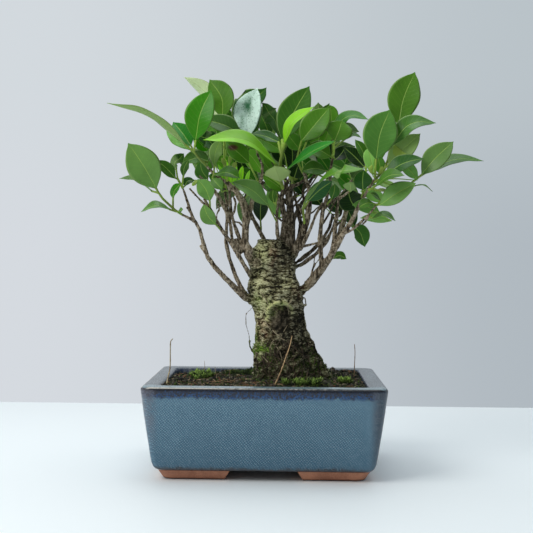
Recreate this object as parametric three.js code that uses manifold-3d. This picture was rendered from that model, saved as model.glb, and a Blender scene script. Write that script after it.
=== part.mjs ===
// A bonsai fig tree in a glazed rectangular pot. Millimetres, +Z up, the eye looks along +Y.
// Pot, soil and drainage pieces come first, then the wood, then the leafy shoots that grow on it.
import * as THREE from 'three';
import { mergeVertices } from 'three/addons/utils/BufferGeometryUtils.js';
import Module from 'manifold-3d';

const wasm = await Module();
wasm.setup();

// ---- driving dimensions ---------------------------------------------------------------------------
const POT = {
  width: 205, depth: 150, height: 75.3, // over the rim
  rimWidth: 15, wall: 7, floorTop: 9.5, bodyBottom: 4,
  cavityLean: 7,
  cornerRadius: 9,
  // The outer wall from the underside up to the rim's top: [height, how far it lies inside the rim's edge].
  profile: [[4, 16.5], [4.9, 12.8], [7.1, 10.2], [11.5, 8.6], [38, 4.6], [62, 1.3], [68, 0.5], [72, 0], [74.4, 0.6], [75.3, 1.7]],
};
const FOOT = { bottom: -3.6, innerX: 33, innerY: 24, arm: 15, lean: 4.6, endLean: 4.9, inset: 17.5 };
const DRAIN = { x: 42, radius: 8, mesh: 26, meshThick: 1, opening: 5, pitch: 7 };
const WIRE = { radius: 0.6, legX: 7, tail: 8, bend: 1.4 };
const GAP = 0.3; // clearance between pieces that touch
const SOIL = { bottom: 13.1, level: 71.5, mound: 4.5, moundRadius: 62 };
const TRUNK_FOOT = { x: 21, y: 0 }; // where the trunk stands in the soil
const LEAF = { thick: 0.9, petiole: 0.75, fold: 0.2 };
const SHOOT_RADIUS = 1.0;

// The tree was measured on a photograph taken from EYE. A point there is [u, v] in its pixels, and the
// third number is the point's depth y in millimetres, counted away from the eye from the pot's middle.
const EYE = {
  x: 17.4, y: -818, z: 182.8, focal: 910, middleU: 266.5, horizonV: 257,
  yaw: THREE.MathUtils.degToRad(1.24), roll: THREE.MathUtils.degToRad(0.45),
};

function seen([u, v, y]) {
  const du = u - EYE.middleU;
  const dv = v - EYE.horizonV;
  const across = (du * Math.cos(EYE.roll) + dv * Math.sin(EYE.roll)) / EYE.focal;
  const down = (dv * Math.cos(EYE.roll) - du * Math.sin(EYE.roll)) / EYE.focal;
  const rayX = across * Math.cos(EYE.yaw) - Math.sin(EYE.yaw);
  const rayY = across * Math.sin(EYE.yaw) + Math.cos(EYE.yaw);
  const reach = (y - EYE.y) / rayY;
  return new THREE.Vector3(EYE.x + rayX * reach, y, EYE.z - down * reach);
}

// ---- solids and meshes ----------------------------------------------------------------------------
const vec = (x, y, z) => new THREE.Vector3(x, y, z);

function toSolid(geometry) {
  const bare = geometry.clone();
  bare.deleteAttribute('normal');
  bare.deleteAttribute('uv');
  const merged = mergeVertices(bare, 1e-4);
  return new wasm.Manifold(new wasm.Mesh({
    numProp: 3,
    vertProperties: Float32Array.from(merged.attributes.position.array),
    triVerts: Uint32Array.from(merged.index.array),
  }));
}

function toGeometry(solid) {
  const mesh = solid.getMesh();
  const geometry = new THREE.BufferGeometry();
  geometry.setAttribute('position', new THREE.BufferAttribute(Float32Array.from(mesh.vertProperties), 3));
  geometry.setIndex(new THREE.BufferAttribute(Uint32Array.from(mesh.triVerts), 1));
  return geometry;
}

// A geometry of these points and faces, with the faces turned outwards.
function skin(points, faces) {
  let volume = 0;
  for (const [a, b, c] of faces) volume += points[a].dot(points[b].clone().cross(points[c]));
  if (volume < 0) faces.forEach((face) => face.reverse());
  const geometry = new THREE.BufferGeometry().setFromPoints(points);
  geometry.setIndex(faces.flat());
  return geometry;
}

// A closed skin over a row of rings with equally many points. Each end is a fan to one point: the ring's
// middle, or the given tip.
function loft(rings, tip = null) {
  const count = rings[0].length;
  const middle = (ring) => ring.reduce((sum, p) => sum.add(p), vec(0, 0, 0)).divideScalar(count);
  const points = rings.flat();
  const start = points.push(middle(rings[0])) - 1;
  const end = points.push(tip ?? middle(rings.at(-1))) - 1;
  const faces = [];
  const last = (rings.length - 1) * count;
  for (let i = 0; i < count; i++) {
    const j = (i + 1) % count;
    for (let row = 0; row < last; row += count) {
      faces.push([row + i, row + j, row + count + j], [row + i, row + count + j, row + count + i]);
    }
    faces.push([start, j, i], [end, last + i, last + j]);
  }
  return skin(points, faces);
}

// A round tube along a smooth curve, its radius running evenly from the first value to the last.
function tube(points, radii, sides, steps, extra = 0) {
  const curve = new THREE.CatmullRomCurve3(points, false, 'centripetal');
  const frames = curve.computeFrenetFrames(steps, false);
  const rings = [];
  for (let i = 0; i <= steps; i++) {
    const t = i / steps;
    const spot = t * (radii.length - 1);
    const k = Math.min(Math.floor(spot), radii.length - 2);
    const radius = THREE.MathUtils.lerp(radii[k], radii[k + 1], spot - k) + extra;
    const middle = curve.getPointAt(t);
    rings.push(Array.from({ length: sides }, (_, side) => {
      const angle = (side / sides) * 2 * Math.PI;
      return middle.clone()
        .addScaledVector(frames.normals[i], radius * Math.cos(angle))
        .addScaledVector(frames.binormals[i], radius * Math.sin(angle));
    }));
  }
  return loft(rings);
}

function united(solids) {
  return solids.reduce((whole, solid) => whole.add(solid));
}

// Of a solid that a cut has left in several pieces, the largest.
function largest(solid) {
  return solid.decompose().reduce((best, piece) => (piece.volume() > best.volume() ? piece : best));
}

const root = new THREE.Group();
root.name = 'bonsai_in_pot';

function addPiece(name, geometry, color, roughness) {
  const shape = geometry.index ? geometry.toNonIndexed() : geometry;
  shape.computeVertexNormals();
  const mesh = new THREE.Mesh(shape, new THREE.MeshStandardMaterial({ color, roughness, metalness: 0 }));
  mesh.name = name;
  root.add(mesh);
}

// ---- pot: one fired piece, with its rim flange, four corner feet and two drain holes -----------------
// A rounded rectangle at one height, always with the same number of points.
function roundedRing(halfX, halfY, radius, z, perCorner = 5) {
  const ring = [];
  [[1, 1, 0], [-1, 1, 90], [-1, -1, 180], [1, -1, 270]].forEach(([sx, sy, startDeg]) => {
    for (let i = 0; i < perCorner; i++) {
      const angle = THREE.MathUtils.degToRad(startDeg + (90 * i) / (perCorner - 1));
      ring.push(vec(
        sx * (halfX - radius) + radius * Math.cos(angle),
        sy * (halfY - radius) + radius * Math.sin(angle), z));
    }
  });
  return ring;
}

const halfX = POT.width / 2;
const halfY = POT.depth / 2;
const cavityInset = (z) => POT.rimWidth + POT.cavityLean * (1 - z / POT.height);

function potRing(inset, z) {
  return roundedRing(halfX - inset, halfY - inset, Math.max(POT.cornerRadius - inset * 0.5, 5), z);
}

function cavityRing(z, shrink = 0) {
  const inset = cavityInset(z) + shrink;
  return roundedRing(halfX - inset, halfY - inset, 7, z);
}

function footOutline(spread, z) {
  // An L seen from below: its outer edges lie inside the pot's base line, its arms end in slopes.
  const outerX = halfX - FOOT.inset + spread;
  const outerY = halfY - FOOT.inset + spread;
  const endX = FOOT.innerX - (spread * FOOT.endLean) / FOOT.lean;
  const endY = FOOT.innerY - (spread * FOOT.endLean) / FOOT.lean;
  const corner = 8;
  const outline = [vec(endX, -outerY, z)];
  for (let i = 0; i <= 4; i++) {
    const angle = THREE.MathUtils.degToRad(-90 + 22.5 * i);
    outline.push(vec(outerX - corner + corner * Math.cos(angle), -outerY + corner + corner * Math.sin(angle), z));
  }
  outline.push(vec(outerX, -endY, z), vec(outerX - FOOT.arm, -endY, z));
  outline.push(vec(outerX - FOOT.arm, -outerY + FOOT.arm, z), vec(endX, -outerY + FOOT.arm, z));
  return outline;
}

// A solid between two outlines of the same points, one above the other.
function prism(lower, upper) {
  const flat = lower.map((p) => new THREE.Vector2(p.x, p.y));
  const caps = THREE.ShapeUtils.triangulateShape(flat, []);
  const n = lower.length;
  const faces = [];
  caps.forEach(([a, b, c]) => faces.push([a, c, b], [n + a, n + b, n + c]));
  for (let i = 0; i < n; i++) {
    const j = (i + 1) % n;
    faces.push([i, j, n + j], [i, n + j, n + i]);
  }
  return skin([...lower, ...upper], faces);
}

function makePot() {
  const { height, bodyBottom, floorTop } = POT;
  const body = toSolid(loft(POT.profile.map(([z, inset]) => potRing(inset, z))));
  const cavity = toSolid(loft([
    cavityRing(floorTop, 3), cavityRing(floorTop + 3), cavityRing(height - 1.2), cavityRing(height, -1.1),
    cavityRing(height + 5, -1.1),
  ]));
  const feet = [[1, 1], [-1, 1], [1, -1], [-1, -1]].map(([sideX, sideY]) => {
    const outline = (spread, z) => {
      const points = footOutline(spread, z).map((p) => vec(sideX * p.x, sideY * p.y, z));
      return sideX * sideY > 0 ? points : points.reverse(); // a mirrored outline runs the other way round
    };
    return toSolid(prism(outline(0, FOOT.bottom), outline(FOOT.lean, bodyBottom + 0.6)));
  });
  const holes = [-1, 1].map((side) => {
    const drill = new THREE.CylinderGeometry(DRAIN.radius, DRAIN.radius, 20, 20);
    drill.rotateX(Math.PI / 2).translate(side * DRAIN.x, 0, floorTop - 4);
    return toSolid(drill);
  });
  return united([body, ...feet]).subtract(cavity).subtract(united(holes));
}

// ---- drainage: a plastic mesh square over each hole, held by a bent wire through it --------------------
function makeDrainMesh(side) {
  const block = (x, y, wide, thick) => toSolid(new THREE.BoxGeometry(wide, wide, thick).translate(x, y, 0));
  let plate = block(0, 0, DRAIN.mesh, DRAIN.meshThick);
  for (const row of [-1, 0, 1]) {
    for (const column of [-1, 0, 1]) {
      plate = plate.subtract(block(column * DRAIN.pitch, row * DRAIN.pitch, DRAIN.opening, 3));
    }
  }
  return toGeometry(plate).translate(side * DRAIN.x, 0, POT.floorTop + GAP + DRAIN.meshThick / 2);
}

// A staple: a bar lying on the mesh, two legs down through it, and tails bent outwards under the floor.
function makeWireClip(side) {
  const top = POT.floorTop + GAP + DRAIN.meshThick + GAP + WIRE.radius;
  const low = POT.bodyBottom - 2 * GAP - WIRE.radius;
  const right = [
    vec(WIRE.legX - WIRE.bend, 0, top), vec(WIRE.legX, 0, top - WIRE.bend), vec(WIRE.legX, 0, low + WIRE.bend),
    vec(WIRE.legX + WIRE.bend, 0, low), vec(WIRE.legX + WIRE.tail, 0, low),
  ];
  const left = right.map((p) => vec(-p.x, 0, p.z)).reverse();
  const path = [...left, ...right].map((p) => p.add(vec(side * DRAIN.x, 0, 0)));
  return tube(path, [WIRE.radius, WIRE.radius], 5, 22);
}

// ---- soil: a block that fills the cavity, mounded round the trunk ---------------------------------------
function soilHeight(x, y) {
  const reach = Math.hypot(x - TRUNK_FOOT.x, y - TRUNK_FOOT.y) / SOIL.moundRadius;
  const ripple = 0.45 * Math.sin(x * 0.13 + 1) + 0.4 * Math.sin(y * 0.17 + x * 0.05);
  return SOIL.level + SOIL.mound * Math.exp(-reach * reach * 1.6) + ripple;
}

function makeSoil() {
  const brim = cavityRing(SOIL.level - 2, GAP + 0.1);
  const surface = (scale) => brim.map((p) => {
    const x = TRUNK_FOOT.x * (1 - scale) + p.x * scale;
    const y = TRUNK_FOOT.y * (1 - scale) + p.y * scale;
    return vec(x, y, soilHeight(x, y));
  });
  const rings = [cavityRing(SOIL.bottom, GAP + 0.1), brim, ...[0.995, 0.85, 0.68, 0.5, 0.3].map(surface)];
  return toSolid(loft(rings, vec(TRUNK_FOOT.x, TRUNK_FOOT.y, soilHeight(TRUNK_FOOT.x, TRUNK_FOOT.y))));
}

// A low cushion of moss on the soil. Its outline is an ellipse with a wavy edge.
function makeMoss(x0, y0, radiusX, radiusY, thick, phase) {
  const count = 14;
  const ring = (scale, lift) => Array.from({ length: count }, (_, i) => {
    const angle = (i / count) * 2 * Math.PI;
    const wave = 1 + 0.13 * Math.sin(3 * angle + phase) + 0.08 * Math.sin(5 * angle + 2 * phase);
    const x = x0 + radiusX * scale * wave * Math.cos(angle);
    const y = y0 + radiusY * scale * wave * Math.sin(angle);
    return vec(x, y, soilHeight(x, y) + GAP + 0.15 + lift);
  });
  return loft([ring(0.5, 0), ring(0.97, 0), ring(1, 0.25 * thick), ring(0.86, 0.65 * thick), ring(0.5, thick)]);
}

// ---- wood: trunk, branches, twigs and aerial roots, grown as one piece ------------------------------------
// Trunk rings, from under the soil to the cut top: height z, middle x and y, half-widths across and deep.
const TRUNK_RINGS = [
  [50, 22, 2, 24, 19], [66, 22, 0, 33, 26], [74, 21.6, 0, 36, 28], [84, 21, 0, 34.5, 26], [96, 19.5, 0, 31.5, 23],
  [108, 17.5, 0, 28.5, 21.5], [120, 14.5, 0, 25, 20], [133, 12, 0, 23, 19], [145, 10.5, 0, 24, 19.5],
  [154, 9, 0, 24.5, 19.5], [165, 7.5, 0, 21, 18], [178, 6, 0, 20, 16], [188, 3.5, -1, 16, 13], [198.5, 1.5, -1, 9.5, 9],
];

function trunkSolid(extra) {
  const sides = 16;
  const rings = TRUNK_RINGS.map(([z, x, y, across, deep]) => Array.from({ length: sides }, (_, i) => {
    const angle = (i / sides) * 2 * Math.PI;
    const lobe = 1 + 0.05 * Math.sin(5 * angle + z * 0.03) + 0.03 * Math.sin(3 * angle - z * 0.05);
    return vec(x + (across * lobe + extra) * Math.cos(angle), y + (deep * lobe + extra) * Math.sin(angle), z);
  }));
  return toSolid(loft(rings));
}

// Every limb: its radii in millimetres from root to end, then the points that it passes through.
const LIMBS = {
  knob_left: [[7.5, 3.2], [[264, 300, -3], [256, 301, -6], [249, 301, -7]]],
  knob_scar: [[5.5, 6.2], [[280, 312, -6], [280.5, 312, -21]]],
  knob_high: [[5, 5.4], [[262, 264, -4], [257.5, 263.5, -17]]],
  right_main: [[7, 5, 4.2, 3.9, 3.3, 2.9, 2.6, 2.1, 1.8, 1.5, 1.2, 1.0], [[290, 300, 0], [306, 287, -4],
    [313.5, 279, -8], [325, 264, -14], [334.5, 250, -20], [340, 238, -25], [347, 228.5, -29], [353, 219, -32],
    [358, 208, -35], [361.5, 199, -38], [368, 190, -40], [375, 178.5, -42]]],
  right_black: [[1.5, 1.2, 1.1, 1.0], [[341, 235, -25], [352, 230, -31], [362, 221, -36], [371, 212.5, -41], [376, 205.5, -44]]],
  right_black_stub: [[0.9, 0.8], [[369, 215, -40], [366, 221, -39], [362.5, 224.5, -38]]],
  right_dark: [[2.8, 2.5, 1.6], [[338, 243, -23], [341, 230, -17], [344.5, 218, -10], [347, 207, -6], [350, 197, -4]]],
  right_second: [[2.0, 1.8, 1.5, 1.0], [[332, 253, -18], [334, 239, -21], [335.8, 224, -23], [337, 209, -24],
    [338, 200, -24], [343, 195.5, -25], [350, 191, -26]]],
  right_first: [[2.4, 2.1, 1.9, 1.4, 1.1], [[322, 267, -13], [320.8, 252, -15], [320, 238, -15], [321.5, 222, -15],
    [323, 210, -14], [326, 200, -12], [330, 189, -10], [330, 177, -8], [331, 167, -6], [332.5, 158, -5]]],
  right_first_side: [[1.5, 1.1], [[323, 209, -14], [331, 203, -9], [338, 197.5, -5], [344, 191, -2], [352, 180, 4]]],
  cross_low: [[2.6, 1.8, 1.6, 1.3], [[290, 270, 6], [303, 263.5, 3], [315, 255, 0], [323, 246.5, -2], [329, 237, -4],
    [334, 225, -5], [338, 213, -4]]],
  cross_high: [[2.2, 1.6, 1.4], [[289, 267, 8], [304, 257.5, 10], [317, 246, 8], [324, 238, 6], [330, 226, 6], [333, 214, 8]]],
  cross_thin: [[1.1, 1.0], [[297, 248, -1], [309, 245, -8], [320.5, 242, -14]]],
  green_sprig: [[0.8, 0.7], [[309.5, 283, -6], [312, 272, -8], [314, 264, -9], [314.5, 256.5, -10]]],
  green_sprig_side: [[0.7, 0.7], [[312.6, 269, -8.5], [316, 263, -9], [320, 258.5, -11]]],
  centre_main: [[9.5, 9, 8, 6.6, 5.6], [[284, 275, 4], [286, 257, 4], [287, 240, 5], [288.5, 225, 5], [289.5, 213, 5]]],
  centre_left: [[3.4, 2.2, 2.0, 1.3], [[286, 220, 2], [282.5, 208, -2], [281, 198, -5], [283.5, 190, -8], [290, 178, -10]]],
  centre_mid: [[3.6, 2.6, 1.8], [[290, 218, 5], [290.5, 205, 3], [290, 193, 0], [291.5, 184, -2]]],
  centre_mid_side: [[1.7, 1.5, 1.3], [[285, 194, -7], [291, 187.5, -6], [299, 184, -6], [307.5, 176.5, -8]]],
  centre_edge: [[2.4, 1.7, 1.5, 1.2], [[281, 248, -3], [277.5, 235, -8], [276.8, 222, -9], [277.5, 209, -9], [279, 198, -8]]],
  centre_right: [[3.6, 3.2, 2.7, 2.2, 1.5], [[293, 256, 2], [300, 240, -4], [305.5, 226, -8], [308.5, 214, -10],
    [309.5, 200, -10], [308.5, 184, -12], [304, 172, -12]]],
  centre_right_back: [[2.4, 2.0, 1.3], [[296, 250, 6], [300, 234, 8], [301, 222, 10], [299, 209, 10]]],
  centre_right_cross: [[1.8, 1.2], [[307, 221, -8], [302.5, 213, -4], [298, 204, 0]]],
  centre_right_edge: [[1.7, 1.5, 1.2], [[300, 250, -4], [307, 236, -14], [312, 225, -15], [317.5, 211, -16], [323, 203, -14]]],
  left_outer: [[3.8, 2.9, 2.5, 2.2, 1.9, 1.7, 1.3, 1.1, 0.9], [[256, 303, -4], [247, 299, -8], [239, 291.5, -12],
    [228, 281, -17], [217, 269.5, -22], [206.5, 255, -27], [203, 242, -30], [199.5, 229, -32], [193.5, 219, -33],
    [190, 210, -33], [186.5, 199, -33], [183, 188.5, -34]]],
  left_outer_stub: [[1.5, 1.2], [[205.5, 253, -27], [200.5, 245.5, -28]]],
  left_outer_notch: [[1.2, 1.0], [[190.5, 212, -33], [187, 207, -34]]],
  left_outer_side: [[1.6, 1.2, 1.1], [[195, 221.5, -32.5], [189, 218, -33.5], [182, 214.5, -36]]],
  left_second: [[2.8, 2.2, 1.8, 1.6, 1.4, 1.3], [[255, 305, -4], [244, 293, -7], [236.5, 278, -6], [230, 261, -4],
    [226, 243, -2], [226.5, 226, 0], [227.5, 212, 2], [226.5, 199, 3], [224.5, 188, 4]]],
  left_third: [[2.4, 2.0, 2.0, 1.8, 1.3, 1.1], [[257, 284, -6], [249, 273, -12], [240, 258, -17], [231, 243, -20],
    [222, 230.5, -23], [215, 217.5, -26], [209.5, 207, -28], [204, 198.5, -30]]],
  left_bare: [[1.0, 0.8, 0.8], [[210, 207.5, -28], [203, 203, -26], [196, 195.5, -24], [189.5, 188.5, -22]]],
  left_loop: [[0.8, 0.8], [[216.5, 219.5, -25], [217, 214, -22], [219.5, 208, -20], [217.5, 203.5, -20]]],
  left_fourth: [[6, 4.2, 3.4, 3.1, 3.2, 3.4, 2.6, 1.8], [[262, 276, -2], [253, 263, -8], [246.5, 251, -12],
    [244.8, 238, -14], [246, 226, -15], [246, 214, -16], [243, 203, -17], [238, 194, -18], [231, 185.5, -20], [225, 181, -22]]],
  left_fourth_stub: [[3.4, 3.0], [[242, 253, -12], [237, 246, -13], [233.8, 239.5, -13]]],
  left_fourth_up: [[2.4, 2.0, 1.7, 1.5, 1.2], [[247, 224, -15], [250, 212, -13], [252.5, 200, -13], [256, 191, -17],
    [260, 183, -21], [263, 173, -24], [262, 163, -27], [257, 153.5, -30]]],
  left_inner: [[2.0, 1.7, 1.5, 1.2], [[243, 247, -13], [238.5, 236, -10], [235.5, 227, -8], [231.5, 218, -7],
    [230.5, 207, -7], [230, 196, -8], [229, 185, -12]]],
  left_inner_loop: [[0.9, 0.8], [[231, 219, -7], [234.5, 211, -10], [236, 204, -11], [233, 195, -10]]],
  left_inner_dark: [[1.8, 1.6, 1.5], [[236.5, 249, -14], [231.5, 237, -16], [230.5, 225, -14], [228.5, 213, -12],
    [225.5, 205, -13]]],
  left_brown: [[1.9, 2.2, 1.8, 1.3, 1.0], [[229.5, 222, -13], [225.5, 208, -15], [220.5, 200, -18], [216, 193, -21],
    [211.5, 187, -24], [205, 181.5, -27], [199, 175.5, -29]]],
  left_high: [[1.6, 1.3, 1.1, 1.0], [[227, 183, -21], [220, 178.5, -27], [213, 173, -33], [206.5, 166, -38]]],
  left_pale: [[0.9, 0.8], [[233, 221, -8], [239, 222.5, -10], [244, 228, -13]]],
  diagonal: [[2.4, 2.0, 1.7, 1.4], [[272, 252, 6], [265, 241, 11], [258.5, 229, 13], [252.5, 217, 14], [248, 207, 16],
    [243, 197, 20]]],
  back_mid: [[4.2, 3.2, 2.4, 1.8, 1.3], [[288, 236, 8], [289.5, 218, 20], [289, 200, 30], [286, 184, 37], [283, 168, 42],
    [281, 152, 46]]],
  back_left: [[2.2, 1.9, 1.5, 1.1], [[289, 205, 27], [275, 193, 35], [259, 180, 42], [243, 168, 48], [228, 158, 52],
    [216, 150, 55]]],
  back_right: [[2.2, 1.9, 1.5, 1.1], [[289.5, 202, 28], [302, 190, 37], [313, 178, 44], [319, 165, 48], [320, 155, 51],
    [320, 147, 54]]],
  back_low: [[2.4, 1.9, 1], [[290, 228, 14], [296, 214, 30], [303, 201, 41], [312, 190, 51], [322, 182, 59]]],
  back_low_left: [[2.2, 1.8, 1], [[287, 230, 12], [285, 214, 31], [279, 202, 44], [270, 192, 53], [260, 184, 60]]],
  aerial_root: [[0.9, 0.8], [[254, 306, -6], [249, 311.5, -9], [242.8, 318, -10], [247.5, 327, -9], [249.5, 338, -7],
    [250.5, 349, -5], [256, 357, -4]]],
  aerial_loop: [[0.8, 0.8], [[300, 294, -4], [305, 298, -6], [306.5, 303.5, -6], [300, 307.5, -4]]],
};

function limbSolid([radii, points], extra) {
  const path = points.map(seen);
  const steps = Math.max(2, Math.round((path.length - 1) * 0.9));
  return toSolid(tube(path, radii, radii[0] > 3 ? 7 : 5, steps, extra));
}

function makeWood(extra) {
  return united([trunkSolid(extra), ...Object.values(LIMBS).map((limb) => limbSolid(limb, extra))]);
}

// ---- leaves ---------------------------------------------------------------------------------------------
// Share of a blade's half-width at five stations from base to tip.
const BLADE = [[0.02, 0.07], [0.2, 0.66], [0.43, 1], [0.67, 0.86], [0.87, 0.42]];

// A leaf grows from a point of its stem through the blade's base and middle to its tip. Its upper side
// faces the given way. Each ring has five points: edge, top of the midrib, edge, and two under the midrib.
function leafSolid({ stalk, base, middle, tip, wide, face }) {
  const blade = new THREE.CatmullRomCurve3([base, middle, tip], false, 'centripetal');
  const ring = (center, along, half, thick) => {
    const tangent = along.clone().normalize();
    const up = face.clone().addScaledVector(tangent, -face.dot(tangent)).normalize();
    const side = tangent.clone().cross(up);
    const at = (across, lift) => center.clone().addScaledVector(side, across).addScaledVector(up, lift);
    const edge = half * LEAF.fold;
    const under = half * LEAF.fold * 0.25 - thick / 2;
    return [at(half, edge), at(0, thick / 2), at(-half, edge), at(-half * 0.25, under), at(half * 0.25, under)];
  };
  const petioleWay = base.clone().sub(stalk);
  const rings = [ring(stalk, petioleWay, LEAF.petiole, LEAF.petiole * 2)];
  for (const [share, width] of BLADE) {
    const half = Math.max((wide / 2) * width, LEAF.petiole);
    const thick = share < 0.1 ? LEAF.petiole * 2 : LEAF.thick;
    rings.push(ring(blade.getPointAt(share), blade.getTangentAt(share), half, thick));
  }
  return toSolid(loft(rings, tip));
}

// One leaf in the photograph's terms: where its stalk starts, base, middle and tip as [u, v, depth],
// its real width in millimetres, and the direction that its upper side faces.
const leaf = (stalk, base, middle, tip, wide, face) => ({
  stalk: seen(stalk), base: seen(base), middle: seen(middle), tip: seen(tip), wide, face: vec(...face).normalize(),
});

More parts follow.
